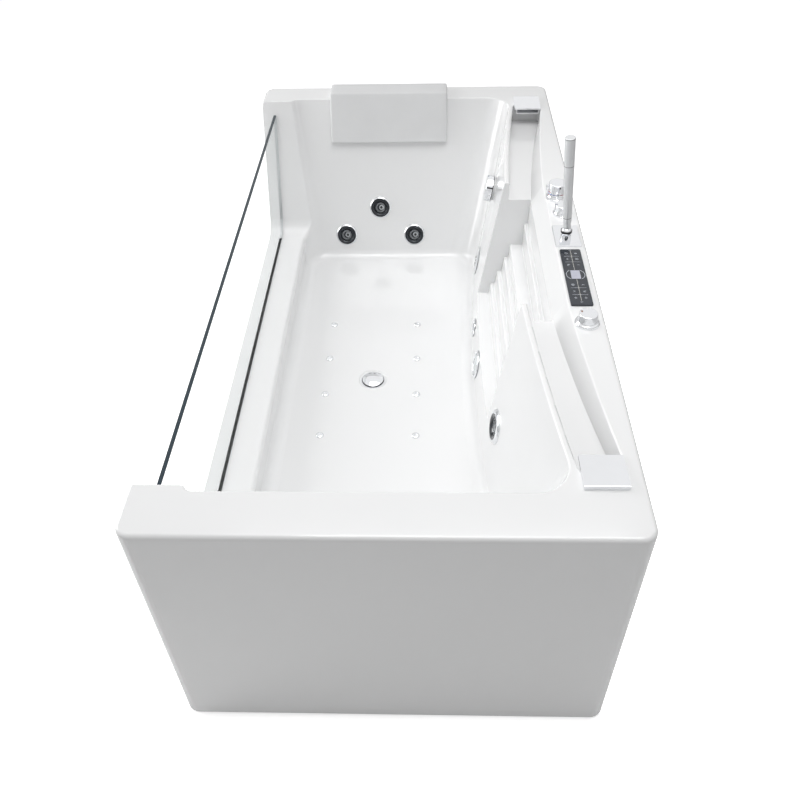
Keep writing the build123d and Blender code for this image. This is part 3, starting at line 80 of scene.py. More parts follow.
def link_mesh(name, points, faces, smooth_angle=40.0):
    """Object from points and faces in world place, turned so that its signed volume is positive."""
    points = np.asarray(points, float)
    mesh = bpy.data.meshes.new(name)
    mesh.from_pydata(points.tolist(), [], [list(face) for face in faces])
    mesh.update()
    mesh.calc_loop_triangles()
    corners = np.empty(len(mesh.loop_triangles) * 3, np.int32)
    mesh.loop_triangles.foreach_get("vertices", corners)
    a, b, c = points[corners.reshape(-1, 3)].transpose(1, 0, 2)
    middle = points.mean(0)
    if np.einsum("ij,ij->i", a - middle, np.cross(b - middle, c - middle)).sum() < 0:
        mesh.flip_normals()
    mesh.shade_smooth()
    mesh.set_sharp_from_angle(angle=math.radians(smooth_angle))
    piece = bpy.data.objects.new(name, mesh)
    bpy.context.scene.collection.objects.link(piece)
    return piece


def grid_faces(rows, columns, wrap_rows, wrap_columns):
    """Quads between neighbouring rows and columns of a grid of points, as an array of four indices each."""
    i = np.arange(rows if wrap_rows else rows - 1)
    j = np.arange(columns if wrap_columns else columns - 1)
    i, j = np.meshgrid(i, j, indexing="ij")
    below, beside = (i + 1) % rows, (j + 1) % columns
    near, far = i * columns, below * columns
    return np.stack([near + j, near + beside, far + beside, far + j], axis=-1).reshape(-1, 4)


def closed_tube(name, rings, wrap=False, smooth_angle=40.0):
    """Rings of points joined in order: ring i, point j is a point of the surface.

    Ends close with a fan to the ring's centre, unless the last ring joins the first.
    """
    rings = np.asarray(rings, float)
    count, around = rings.shape[:2]
    points = rings.reshape(-1, 3)
    faces = grid_faces(count, around, wrap, True).tolist()
    if not wrap:
        ends = np.stack([rings[0].mean(0), rings[-1].mean(0)])
        points = np.concatenate([points, ends])
        j = np.arange(around)
        beside = (j + 1) % around
        last = (count - 1) * around
        faces += np.stack([np.full(around, len(points) - 2), beside, j], axis=1).tolist()
        faces += np.stack([np.full(around, len(points) - 1), last + j, last + beside], axis=1).tolist()
    return link_mesh(name, points, faces, smooth_angle)


def eased(profile, radius, steps=4):
    """Closed profile with each corner replaced by a quadratic curve whose ends lie a radius from it.

    On a short run the ends lie nearer, at less than half of the run.
    """
    profile = np.asarray(profile, float)
    before = np.roll(profile, 1, axis=0)
    after = np.roll(profile, -1, axis=0)
    back = before - profile
    ahead = after - profile
    back_length = np.linalg.norm(back, axis=1, keepdims=True)
    ahead_length = np.linalg.norm(ahead, axis=1, keepdims=True)
    start = profile + back * np.minimum(radius / back_length, LONGEST_EASE)
    end = profile + ahead * np.minimum(radius / ahead_length, LONGEST_EASE)
    t = np.linspace(0.0, 1.0, steps)[None, :, None]
    curve = start[:, None] * (1 - t) ** 2 + 2 * profile[:, None] * t * (1 - t) + end[:, None] * t ** 2
    return curve.reshape(-1, 2)


def seat_axes(direction):
    """Right, up and outward directions at a fitting, from its outward direction."""
    out = np.asarray(direction, float)
    out = out / np.linalg.norm(out)
    pole = np.array([0.0, 0.0, 1.0]) if abs(out[2]) < 0.99 else np.array([0.0, 1.0, 0.0])
    right = np.cross(pole, out)
    right = right / np.linalg.norm(right)
    return np.stack([right, np.cross(out, right), out])


def turned(name, profile, origin, direction, around=72, ring=False, shift=(0.0, 0.0)):
    """Turned piece: radius and height of a profile carried round an axis.

    A ring's profile closes on itself.
    """
    profile = np.asarray(profile, float)
    angle = np.linspace(0.0, 2 * math.pi, around, endpoint=False)
    axes = seat_axes(direction)
    across = profile[:, 0, None] * np.cos(angle) + shift[0]
    upward = profile[:, 0, None] * np.sin(angle) + shift[1]
    height = np.broadcast_to(profile[:, 1, None], across.shape)
    rings = np.stack([across, upward, height], axis=-1) @ axes + np.asarray(origin)
    return closed_tube(name, rings, wrap=ring, smooth_angle=TURNED_ANGLE)


def prism(name, outline, plane, low, high):
    """Flat plate: an outline in a plane's two directions, between two heights along its normal."""
    origin, right, up = (np.asarray(v, float) for v in plane)
    normal = np.cross(right, up)
    outline = np.asarray(outline, float)
    flat = origin + outline[:, :1] * right + outline[:, 1:] * up
    return closed_tube(name, np.stack([flat + normal * low, flat + normal * high]))


def joined(name, pieces):
    """Several pieces of one finish made one object, their meshes put end to end."""
    points, faces, base = [], [], 0
    for piece in pieces:
        mesh = piece.data
        place = np.empty(len(mesh.vertices) * 3)
        mesh.vertices.foreach_get("co", place)
        points.append(place.reshape(-1, 3))
        faces += [[base + v for v in polygon.vertices] for polygon in mesh.polygons]
        base += len(mesh.vertices)
        bpy.data.objects.remove(piece)
    mesh = bpy.data.meshes.new(name)
    mesh.from_pydata(np.concatenate(points).tolist(), [], faces)
    mesh.update()
    mesh.shade_smooth()
    mesh.set_sharp_from_angle(angle=math.radians(TURNED_ANGLE))
    whole = bpy.data.objects.new(name, mesh)
    bpy.context.scene.collection.objects.link(whole)
    return whole


# Finishes
FINER, COAT_ROUGH = 4.5, 0.05


def new_finish(name):
    """Material with its shader, node tree and Object coordinates."""
    finish = bpy.data.materials.new(name)
    finish.use_nodes = True
    tree = finish.node_tree
    shader = tree.nodes["Principled BSDF"]
    place = tree.nodes.new("ShaderNodeTexCoord")
    return finish, tree, shader, place.outputs["Object"]


def noise(tree, place, scale, detail=3.0, stretch=(1.0, 1.0, 1.0)):
    """Noise over Object coordinates, stretched along the axes."""
    mapping = tree.nodes.new("ShaderNodeMapping")
    mapping.inputs["Scale"].default_value = stretch
    tree.links.new(place, mapping.inputs["Vector"])
    texture = tree.nodes.new("ShaderNodeTexNoise")
    texture.inputs["Scale"].default_value = scale
    texture.inputs["Detail"].default_value = detail
    tree.links.new(mapping.outputs["Vector"], texture.inputs["Vector"])
    return texture.outputs["Fac"]


def ranged(tree, value, low, high, start=0.3, end=0.7):
    """Value taken linearly from one span, by default the usual one of noise, to another."""
    node = tree.nodes.new("ShaderNodeMapRange")
    node.inputs["From Min"].default_value = start
    node.inputs["From Max"].default_value = end
    node.inputs["To Min"].default_value = low
    node.inputs["To Max"].default_value = high
    tree.links.new(value, node.inputs["Value"])
    return node.outputs["Result"]


def blended(tree, value, dark, light):
    """Colour between two, by a value."""
    node = tree.nodes.new("ShaderNodeMix")
    node.data_type = "RGBA"
    node.inputs["A"].default_value = (*dark, 1.0)
    node.inputs["B"].default_value = (*light, 1.0)
    tree.links.new(value, node.inputs["Factor"])
    return node.outputs["Result"]


def bumped(tree, shader, value, distance, strength=0.3):
    """Surface relief from a value."""
    node = tree.nodes.new("ShaderNodeBump")
    node.inputs["Distance"].default_value = distance
    node.inputs["Strength"].default_value = strength
    tree.links.new(value, node.inputs["Height"])
    tree.links.new(node.outputs["Normal"], shader.inputs["Normal"])


def surface_finish(name, colour, rough, metal=0.0, spread=0.04, patch=18.0, tone=0.03, grain=250.0,
                   relief=0.0, stretch=(1.0, 1.0, 1.0), coat=0.0):
    """Finish whose colour and roughness drift in soft patches, with a fine grain as relief."""
    finish, tree, shader, place = new_finish(name)
    drift = noise(tree, place, patch)
    shade = ranged(tree, drift, 0.0, 1.0)
    darker = tuple(c * (1 - tone) for c in colour)
    tree.links.new(blended(tree, shade, darker, colour), shader.inputs["Base Color"])
    fine = noise(tree, place, patch * FINER, 4.0, stretch)
    tree.links.new(ranged(tree, fine, max(rough - spread, 0.01), rough + spread), shader.inputs["Roughness"])
    shader.inputs["Metallic"].default_value = metal
    shader.inputs["Coat Weight"].default_value = coat
    shader.inputs["Coat Roughness"].default_value = COAT_ROUGH
    if relief:
        bumped(tree, shader, noise(tree, place, grain, 4.0, stretch), relief)
    finish.diffuse_color = (*colour, 1.0)
    return finish


GLASS_TOP = 0.565
GLASS_TINT = (0.78, 0.87, 0.85)
PAINTED_GLASS_EDGE_SHADE = (0.006, 0.022, 0.035)


def glass_finish():
    """Clear glass with a pale green tint, made solid and dark at its polished top edge as painted shade."""
    finish, tree, shader, place = new_finish("window_glass_finish")
    split = tree.nodes.new("ShaderNodeSeparateXYZ")
    tree.links.new(place, split.inputs["Vector"])
    # Painted shade: just under the glass's top, the colour turns dark teal and the glass turns solid,
    # standing in for the dark look of its polished edge.
    edge = ranged(tree, split.outputs["Z"], 0.0, 1.0, GLASS_TOP - 0.0018, GLASS_TOP - 0.0010)
    colour = blended(tree, edge, GLASS_TINT, PAINTED_GLASS_EDGE_SHADE)
    tree.links.new(colour, shader.inputs["Base Color"])
    smear = ranged(tree, noise(tree, place, 6.0), 0.07, 0.11)
    top = tree.nodes.new("ShaderNodeMath")
    top.operation = "MAXIMUM"
    tree.links.new(smear, top.inputs[0])
    tree.links.new(edge, top.inputs[1])
    tree.links.new(top.outputs["Value"], shader.inputs["Alpha"])
    tree.links.new(ranged(tree, noise(tree, place, 9.0), 0.01, 0.03), shader.inputs["Roughness"])
    shader.inputs["IOR"].default_value = 1.52
    return finish


PLY_DARK = (0.40, 0.27, 0.15)
PLY_LIGHT = (0.66, 0.50, 0.32)


def ply_finish():
    """Layered board: growth lines stretched along the bath over bands of plies seen at its edge."""
    finish, tree, shader, place = new_finish("board_ply")
    streaks = noise(tree, place, 40.0, 6.0, (1.0, 0.06, 1.0))
    colour = blended(tree, ranged(tree, streaks, 0.0, 1.0), PLY_DARK, PLY_LIGHT)
    tree.links.new(colour, shader.inputs["Base Color"])
    tree.links.new(ranged(tree, streaks, 0.55, 0.75), shader.inputs["Roughness"])
    bumped(tree, shader, streaks, 0.0006, 0.5)
    return finish


WHITE = (0.81, 0.813, 0.816)
# Each slot's material name, colour, roughness and what differs from the plain finish
FINISH_ROWS = {
    "acrylic": ("white_acrylic", WHITE, 0.13,
                {"spread": 0.03, "patch": 3.0, "tone": 0.012, "grain": 60.0, "relief": 0.00012,
                 "coat": 0.35}),
    "silicone": ("silicone_bead", (0.62, 0.64, 0.65), 0.38,
                 {"tone": 0.08, "grain": 300.0, "relief": 0.0003}),
    "frame_steel": ("grey_frame_paint", (0.42, 0.44, 0.46), 0.36,
                    {"spread": 0.08, "tone": 0.07, "grain": 420.0, "relief": 0.0002}),
    "zinc_steel": ("zinc_plate", (0.60, 0.61, 0.63), 0.34,
                   {"metal": 1.0, "spread": 0.12, "patch": 60.0, "tone": 0.14, "grain": 500.0,
                    "relief": 0.0001}),
    "foot_rubber": ("foot_rubber", (0.035, 0.035, 0.038), 0.72,
                    {"spread": 0.1, "tone": 0.2, "grain": 600.0, "relief": 0.0004}),
    "chrome": ("polished_chrome", (0.82, 0.83, 0.85), 0.06,
               {"metal": 1.0, "spread": 0.02, "patch": 30.0, "tone": 0.02}),
    "satin_chrome": ("satin_chrome", (0.74, 0.75, 0.76), 0.36,
                     {"metal": 0.7, "spread": 0.03, "patch": 40.0, "tone": 0.04, "grain": 900.0,
                      "relief": 0.00004, "stretch": (1.0, 1.0, 0.1)}),
    "nozzle_plastic": ("smoked_nozzle", (0.05, 0.055, 0.065), 0.24,
                       {"metal": 0.3, "spread": 0.05, "patch": 80.0, "tone": 0.15}),
    "lens_plastic": ("frosted_lens", (0.72, 0.76, 0.77), 0.18,
                     {"spread": 0.05, "patch": 90.0, "tone": 0.08, "grain": 700.0, "relief": 0.0002,
                      "coat": 0.5}),
    "panel_glass": ("dark_panel_glass", (0.016, 0.021, 0.030), 0.22,
                    {"spread": 0.04, "patch": 40.0, "tone": 0.1, "coat": 0.15}),
    "black_plastic": ("moulded_black", (0.05, 0.052, 0.056), 0.46,
                      {"spread": 0.08, "patch": 30.0, "tone": 0.15, "grain": 900.0, "relief": 0.0004}),
    "white_plastic": ("white_pipe", (0.78, 0.79, 0.79), 0.30,
                      {"spread": 0.05, "patch": 12.0, "tone": 0.04, "grain": 300.0, "relief": 0.0001}),
    "motor_paint": ("motor_paint", (0.10, 0.14, 0.20), 0.42,
                    {"spread": 0.08, "patch": 40.0, "tone": 0.18, "grain": 700.0, "relief": 0.0006}),
    "brass": ("valve_brass", (0.62, 0.46, 0.20), 0.30,
              {"metal": 1.0, "spread": 0.1, "patch": 50.0, "tone": 0.15, "grain": 600.0,
               "relief": 0.0002}),
    "pillow_foam": ("pillow_skin", (0.71, 0.715, 0.72), 0.62,
                    {"spread": 0.06, "patch": 14.0, "tone": 0.03, "grain": 520.0, "relief": 0.0005}),
}
finishes = {"clear_glass": glass_finish(), "board": ply_finish()}
for slot_name, (finish_name, colour, rough, more) in FINISH_ROWS.items():
    finishes[slot_name] = surface_finish(finish_name, colour, rough, **more)
slot_of = {entry["node"]: entry["material_slot"] for entry in frame["record"]["subparts"]}
for node_name, node in nodes.items():
    for place in node.material_slots:
        place.material = finishes[slot_of[node_name]]


def finished(piece, finish, body):
    """Gives a new piece its finish and the body that it rides on."""
    piece.data.materials.append(finish)
    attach(piece, body)
    return piece


# Floor, world and lamps
WORLD_LEVEL, MIRROR_LOW = 0.38, 0.38
MIRROR_SPAN = (-0.1, 0.45)
FLOOR_TONE, FLOOR_GLOW = 0.95, 0.60
FLOOR_REACH, FLOOR_LEVEL = 9.0, -0.0005


def any_of(tree, first, second):
    """One where either value is one."""
    node = tree.nodes.new("ShaderNodeMath")
    node.operation = "MAXIMUM"
    tree.links.new(first, node.inputs[0])
    tree.links.new(second, node.inputs[1])
    return node.outputs["Value"]


def white_room():
    """World that is white to the camera and gives surfaces a plain level of light.

    In reflections it falls from white above to a grey below the horizon, which gives metal its bands.
    """
    world = bpy.data.worlds.new("room")
    bpy.context.scene.world = world
    world.use_nodes = True
    tree = world.node_tree
    path = tree.nodes.new("ShaderNodeLightPath")
    seen = any_of(tree, path.outputs["Is Camera Ray"], path.outputs["Is Transmission Ray"])
    plain = tree.nodes.new("ShaderNodeMapRange")
    plain.inputs["To Min"].default_value = WORLD_LEVEL
    plain.inputs["To Max"].default_value = 1.0
    tree.links.new(seen, plain.inputs["Value"])
    place = tree.nodes.new("ShaderNodeTexCoord")
    split = tree.nodes.new("ShaderNodeSeparateXYZ")
    tree.links.new(place.outputs["Generated"], split.inputs["Vector"])
    reflected = ranged(tree, split.outputs["Z"], MIRROR_LOW, 1.0, *MIRROR_SPAN)
    level = tree.nodes.new("ShaderNodeMix")
    tree.links.new(path.outputs["Is Glossy Ray"], level.inputs["Factor"])
    tree.links.new(plain.outputs["Result"], level.inputs["A"])
    tree.links.new(reflected, level.inputs["B"])
    back = tree.nodes["Background"]
    tree.links.new(level.outputs["Result"], back.inputs["Strength"])
    back.inputs["Color"].default_value = (1.0, 1.0, 1.0, 1.0)


def floor():
    """Wide floor under the bath, whose own brightness to the camera keeps the shadow pale."""
    mesh = bpy.data.meshes.new("floor")
    corners = np.column_stack([CORNERS[[2, 3, 0, 1]] * FLOOR_REACH, np.full(4, FLOOR_LEVEL)])
    mesh.from_pydata(corners.tolist(), [], [(0, 1, 2, 3)])
    ground = bpy.data.objects.new("floor", mesh)
    bpy.context.scene.collection.objects.link(ground)
    finish = bpy.data.materials.new("white_floor")
    finish.use_nodes = True
    tree = finish.node_tree
    shader = tree.nodes["Principled BSDF"]
    shader.inputs["Roughness"].default_value = 0.9
    shader.inputs["Specular IOR Level"].default_value = 0.0
    path = tree.nodes.new("ShaderNodeLightPath")
    seen = any_of(tree, path.outputs["Is Camera Ray"], path.outputs["Is Transmission Ray"])
    tree.links.new(blended(tree, seen, (FLOOR_TONE,) * 3, (1.0, 1.0, 1.0)), shader.inputs["Base Color"])
    shader.inputs["Emission Color"].default_value = (1.0, 1.0, 1.0, 1.0)
    tree.links.new(ranged(tree, seen, 0.0, FLOOR_GLOW, 0.0, 1.0), shader.inputs["Emission Strength"])
    mesh.materials.append(finish)


def lamp(name, place, target, size, power, spread=180.0):
    """Soft square lamp that faces a point, its light kept within a spread in degrees."""
    data = bpy.data.lights.new(name, "AREA")
    data.shape = "SQUARE"
    data.size = size
    data.energy = power
    data.spread = math.radians(spread)
    light = bpy.data.objects.new(name, data)
    back = np.asarray(place, float) - np.asarray(target, float)
    axes = seat_axes(back)
    light.matrix_world = Matrix.Translation(place) @ Matrix(axes.T.tolist()).to_4x4()
    bpy.context.scene.collection.objects.link(light)


white_room()
floor()
lamp("top_lamp", (0.1, 0.1, 3.3), (0.0, 0.1, 0.3), 2.2, 26.0)
lamp("left_lamp", (-2.6, 0.7, 1.3), (0.2, 0.1, 0.35), 1.8, 52.0)
lamp("near_lamp", (0.3, -0.6, 2.9), (0.3, -0.7, 0.6), 1.6, 5.3, 84.0)
lamp("stair_lamp", (0.6, -0.9, 2.9), (0.37, 0.22, 0.55), 0.7, 0.30, 32.0)


# Thin pieces laid on the deck fittings

def ribbon(path, width, low, high):
    """Strip of steady width along a path in the deck's plane, between two heights."""
    path = np.asarray(path, float)
    ahead = np.gradient(path, axis=0)
    ahead = ahead / np.linalg.norm(ahead, axis=1, keepdims=True)
    side = np.stack([-ahead[:, 1], ahead[:, 0]], axis=1) * width / 2
    left, right = path + side, path - side
    count = len(path)
    corners = [(left, low), (right, low), (right, high), (left, high)]
    rings = np.stack([np.column_stack([edge, np.full(count, height)]) for edge, height in corners], axis=1)
    return closed_tube("strip", rings)


def arc(middle, radius, start, end, steps=24):
    """Points of an arc between two angles in degrees."""
    angle = np.radians(np.linspace(start, end, steps))
    return np.stack([middle[0] + radius * np.cos(angle), middle[1] + radius * np.sin(angle)], axis=1)


def line(start, end, steps=3):
    """Points of a straight run."""
    t = np.linspace(0.0, 1.0, steps)[:, None]
    return np.asarray(start, float) * (1 - t) + np.asarray(end, float) * t


def wave(middle, length, height, turns=1.5, steps=24):
    """Points of a sine wave along the first direction."""
    t = np.linspace(-0.5, 0.5, steps)
    return np.stack([middle[0] + t * length, middle[1] + height * np.sin(2 * math.pi * turns * t)], axis=1)


PANEL = (0.385, -0.158)
PANEL_TOP = 0.604
DISPLAY = (PANEL[0], PANEL[1] + 0.004)
INK = 0.00016
ICONS = [
    [wave((0, 0.4), 1.7, 0.22), wave((0, -0.4), 1.7, 0.22)],
    [arc((0, 0.1), 0.75, -60, 240), line((-0.35, -0.85), (0.35, -0.85))],
    [arc((0, 0), 0.85, 125, 415), line((0, 0.2), (0, 1.0))],
    [line((-0.8, 0), (0.8, 0)), line((0, -0.8), (0, 0.8))],
    [line((-0.8, 0), (0.8, 0))],
    [arc((-0.45, -0.3), 0.36, 0, 360), arc((0.4, 0.25), 0.48, 0, 360)],
    [line((-0.8, -0.5), (0, 0.4)), line((0, 0.4), (0.8, -0.5))],
    [arc((0, 0), 0.8, 0, 360), line((0, 0), (0, 0.6)), line((0, 0), (0.45, 0))],
    [wave((0, 0.0), 1.7, 0.35, 1.0), line((-0.8, -0.8), (0.8, -0.8))],
    [line((-0.6, 0.8), (0.6, 0)), line((0.6, 0), (-0.6, -0.8))],
    [arc((0, -0.2), 0.6, 150, 390), line((-0.52, 0.1), (0, 1.0)), line((0.52, 0.1), (0, 1.0))],
    [arc((0, 0), 0.35, 0, 360), line((0, 0.6), (0, 1.0)), line((0, -1.0), (0, -0.6)),
     line((-1.0, 0), (-0.6, 0)), line((0.6, 0), (1.0, 0))],
]
ICON_ROWS = (0.085, 0.063, 0.041, -0.033, -0.056, -0.079)
ICON_COLUMN, ICON_HALF = 0.0105, 0.0033
BAR_ROWS = (0.074, 0.052, -0.044, -0.068)
END_ROWS = (0.0985, -0.0935)
BAR_HALF, END_HALF = 0.016, 0.003
LINE_RUNS = ((0.095, 0.0215), (-0.0135, -0.089))
LINE_WIDTH, BAR_WIDTH, ICON_WIDTH = 0.0009, 0.0005, 0.0007
ARC_RADIUS, DOT_RADIUS = 0.0195, 0.0013
UPWARDS = (0, 0, 1)


def deck_strip(path, width, thickness=INK):
    """Strip of a path on the touch panel's face."""
    return ribbon(path, width, PANEL_TOP, PANEL_TOP + thickness)


def cross_line(offset, reach):
    """Points of a line across the touch panel, at an offset along the panel from its middle."""
    along = PANEL[1] + offset
    return line((PANEL[0] - reach, along), (PANEL[0] + reach, along))


def panel_marks():
    """Pale strips of the touch panel: arcs about the display, cross bars and a drawn sign for each key."""
    strips = []
    for start in (-55, 125):
        strips.append(deck_strip(arc(DISPLAY, ARC_RADIUS, start, start + 110, 40), LINE_WIDTH))
    for offset in BAR_ROWS:
        strips.append(deck_strip(cross_line(offset, BAR_HALF), BAR_WIDTH))
    for index, sign in enumerate(ICONS):
        side = -ICON_COLUMN if index % 2 else ICON_COLUMN
        centre = np.array([PANEL[0] + side, PANEL[1] + ICON_ROWS[index // 2]])
        for path in sign:
            strips.append(deck_strip(centre + path * ICON_HALF, ICON_WIDTH))
    for offset in END_ROWS:
        strips.append(deck_strip(cross_line(offset, END_HALF), LINE_WIDTH))
    return joined("panel_marks", strips)


def panel_line():
    """Middle line of the touch panel in two runs, with a dot where each cross bar meets it."""
    strips = []
    for start, end in LINE_RUNS:
        run = line((PANEL[0], PANEL[1] + start), (PANEL[0], PANEL[1] + end))
        strips.append(deck_strip(run, LINE_WIDTH, 2 * INK))
    for offset in BAR_ROWS:
        dot = [(DOT_RADIUS, 0.0), (DOT_RADIUS, 3 * INK)]
        strips.append(turned("dot", dot, (PANEL[0], PANEL[1] + offset, PANEL_TOP), UPWARDS, 16))
    return joined("panel_line", strips)


def rounded_plate(name, middle, width, length, radius, low, high):
    """Plate with round corners in the deck's plane, between two heights."""
    outline = eased(CORNERS * np.array([width, length]) / 2, radius, 6) + np.asarray(middle)
    return prism(name, outline, ((0, 0, 0), (1, 0, 0), (0, 1, 0)), low, high)


mark_white = surface_finish("panel_ink", (0.66, 0.69, 0.74), 0.42, spread=0.05, patch=200.0, tone=0.08)
mark_pale = surface_finish("panel_line_ink", (0.56, 0.55, 0.52), 0.40, spread=0.05, patch=200.0, tone=0.10)
display_grey = surface_finish("display_glass", (0.47, 0.48, 0.56), 0.20, spread=0.04, patch=120.0, tone=0.08)
finished(panel_marks(), mark_white, "bath")
finished(panel_line(), mark_pale, "bath")
display = rounded_plate("panel_display", DISPLAY, 0.020, 0.031, 0.0022, PANEL_TOP, PANEL_TOP + 0.0003)
finished(display, display_grey, "bath")

# Deck knobs: rings and marks
THERMOSTAT = (0.382, 0.178)
FLOW = (0.387, -0.316)
BAND_REACH, BAND_RADIUS, BAND_LOW, BAND_HIGH = 0.020, 0.02205, 0.6158, 0.6172
BAND_COLD = (0.03, 0.10, 0.45, 1.0)
BAND_MIDDLE = (0.02, 0.02, 0.03, 1.0)
BAND_HOT = (0.50, 0.03, 0.03, 1.0)
DASH_RADIUS = 0.0217
DASH_HEIGHTS = (0.6125, 0.6205)
DASH_BEARINGS = (200.0, 212.0)
DASH_SIZE = (0.0016, 0.0030, 0.0012)


def band_finish():
    """Ring that runs from blue on the window side through dark to red on the wall side."""
    finish, tree, shader, place = new_finish("temperature_band")
    split = tree.nodes.new("ShaderNodeSeparateXYZ")
    tree.links.new(place, split.inputs["Vector"])
    ramp = tree.nodes.new("ShaderNodeValToRGB")
    ramp.color_ramp.elements[0].color = BAND_COLD
    ramp.color_ramp.elements[1].color = BAND_HOT
    middle = ramp.color_ramp.elements.new(0.5)
    middle.color = BAND_MIDDLE
    cold_end, hot_end = THERMOSTAT[0] - BAND_REACH, THERMOSTAT[0] + BAND_REACH
    across = ranged(tree, split.outputs["X"], 0.0, 1.0, cold_end, hot_end)
    tree.links.new(across, ramp.inputs["Fac"])
    tree.links.new(ramp.outputs["Color"], shader.inputs["Base Color"])
    tree.links.new(ranged(tree, noise(tree, place, 150.0), 0.28, 0.40), shader.inputs["Roughness"])
    return finish


def ring_at(name, place, radius, low, high, depth=0.0006, direction=UPWARDS):
    """Thin raised ring round a piece: a small rectangle of section carried round the piece's axis."""
    inner = radius - depth
    profile = eased([(inner, low), (radius, low), (radius, high), (inner, high)], 0.0001, 3)
    return turned(name, profile, place, direction, ring=True)


def block_at(name, middle, size):
    """Small block with eased upright edges, its sides along the axes."""
    low, high = middle[2] - size[2] / 2, middle[2] + size[2] / 2
    return rounded_plate(name, middle[:2], size[0], size[1], min(size[:2]) * 0.2, low, high)


ink_black = surface_finish("mark_black", (0.015, 0.015, 0.018), 0.40, spread=0.05, patch=150.0, tone=0.2)
ink_red = surface_finish("mark_red", (0.45, 0.03, 0.03), 0.40, spread=0.05, patch=150.0, tone=0.1)
ink_brown = surface_finish("mark_brown", (0.22, 0.10, 0.05), 0.40, spread=0.05, patch=150.0, tone=0.1)
band = ring_at("thermostat_band", (*THERMOSTAT, 0.0), BAND_RADIUS, BAND_LOW, BAND_HIGH)
finished(band, band_finish(), "thermostat")
dashes = []
for height in DASH_HEIGHTS:
    for bearing in np.radians(DASH_BEARINGS):
        aside, along = DASH_RADIUS * math.cos(bearing), DASH_RADIUS * math.sin(bearing)
        spot = (THERMOSTAT[0] + aside, THERMOSTAT[1] + along, height)
        dashes.append(block_at("dash", spot, DASH_SIZE))
finished(joined("thermostat_dashes", dashes), ink_red, "thermostat")
mark_place = (THERMOSTAT[0] + 0.004, THERMOSTAT[1] - 0.0208, 0.6352)
thermostat_mark = block_at("thermostat_mark", mark_place, (0.0030, 0.0016, 0.0036))
finished(thermostat_mark, ink_black, "thermostat")
flow_mark = block_at("flow_mark", (FLOW[0] - 0.0125, FLOW[1] + 0.006, 0.62505), (0.0032, 0.0050, 0.0004))
finished(flow_mark, ink_brown, "flow_control")

# Hand shower: its seams and the ring of the ball seat
WAND_BASE = np.array([0.379, -0.020, 0.637])
WAND_AXIS = np.array([-0.08716, 0.0, 0.99619])
WAND_FOOT, WAND_START, WAND_LENGTH, WAND_FLARE = 0.0095, 0.018, 0.196, 0.002
SEAM_HALF, SEAM_PROUD = 0.0004, 0.00012
SEAM_PLACES = (0.027, 0.151, 0.2115)
seams = []
for along in SEAM_PLACES:
    radius = WAND_FOOT + (along - WAND_START) * WAND_FLARE / WAND_LENGTH + SEAM_PROUD
    start, end = along - SEAM_HALF, along + SEAM_HALF
    seams.append(ring_at("seam", WAND_BASE, radius, start, end, direction=WAND_AXIS))
finished(joined("wand_seams", seams), ink_black, "handset")
seat_ring = ring_at("ball_seat_ring", (WAND_BASE[0], WAND_BASE[1], 0.0), 0.0126, 0.6262, 0.6318, 0.0014)
finished(seat_ring, ink_black, "bath")

# Jets: origin on the wall and outward direction
SEATS = {
    "back_jet_left": ((-0.186, 0.615164, 0.224), (0.0, -0.93065, 0.36591)),
    "back_jet_centre": ((-0.078, 0.646225, 0.303), (0.0, -0.93065, 0.36591)),
    "back_jet_right": ((0.028, 0.615164, 0.224), (0.0, -0.93065, 0.36591)),
    "side_jet": ((0.221325, -0.324, 0.312), (-0.9859, -0.06401, 0.15461)),
}
NOZZLE_BODIES = {
    "back_jet_left": "back_nozzle_left", "back_jet_centre": "back_nozzle_centre",
    "back_jet_right": "back_nozzle_right", "side_jet": "side_nozzle",
}
# Painted shade: a near-black ring laid over the dome of each jet's bezel stands in for the shade of the
# jet's opening.
painted_jet_shade = surface_finish(
    "jet_opening_painted_shade", (0.018, 0.022, 0.028), 0.18, metal=0.2, spread=0.04, patch=90.0, tone=0.25)
pale_plastic = surface_finish(
    "pale_nozzle_tip", (0.46, 0.48, 0.50), 0.25, spread=0.04, patch=90.0, tone=0.06)
# Painted shade: a near-black closed cylinder filling each nozzle's bore stands in for the shade in the hole.
painted_bore_shade = surface_finish("nozzle_bore_painted_shade", (0.008, 0.008, 0.01), 0.6, spread=0.05, patch=60.0, tone=0.2)

# Outer radius of a jet's bezel, of the ring of painted shade on it and of its nozzle tip
BACK_RADII = (0.033, 0.0290, 0.0078)
SIDE_RADII = (0.041, 0.0300, 0.0095)
BEZEL_THROAT, BEZEL_EDGE, BEZEL_SHOULDER, SHOULDER_IN = 0.018, 0.001, 0.005, 0.005
SHADE_RING_START, SHADE_RING_ABOVE, SHADE_RING_BELOW = 0.0186, 0.0004, 0.0003
TIP_BORE, TIP_TOP, TIP_LOW, TIP_TAPER = 0.0042, 0.0014, -0.0050, 0.0008
TIP_SHIFT = (0.003, 0.0)
LINE_RADII = (0.0114, 0.0141)


def crown_height(radius, flange):
    """Height of a bezel's domed ring at a radius.

    The dome is a circle over the ring's middle radius, through its outer edge and its shoulder.
    """
    middle = (flange + BEZEL_THROAT) / 2
    reach, step = flange - middle, flange - SHOULDER_IN - middle
    rise = reach ** 2 - step ** 2 + BEZEL_EDGE ** 2 - BEZEL_SHOULDER ** 2
    centre = rise / (2 * (BEZEL_EDGE - BEZEL_SHOULDER))
    return centre + math.sqrt(reach ** 2 + (BEZEL_EDGE - centre) ** 2 - (radius - middle) ** 2)


def shade_ring(name, flange, outer, origin, out):
    """Dark ring of painted shade on the dome of a bezel, from its throat outwards, a little above it and
    below it.
    """
    steps = np.linspace(SHADE_RING_START, outer, 9)
    above = [(radius, crown_height(radius, flange) + SHADE_RING_ABOVE) for radius in steps]
    below = [(radius, crown_height(radius, flange) - SHADE_RING_BELOW) for radius in steps[::-1]]
    return turned(name, eased(above + below, 0.0002, 3), origin, out, ring=True)


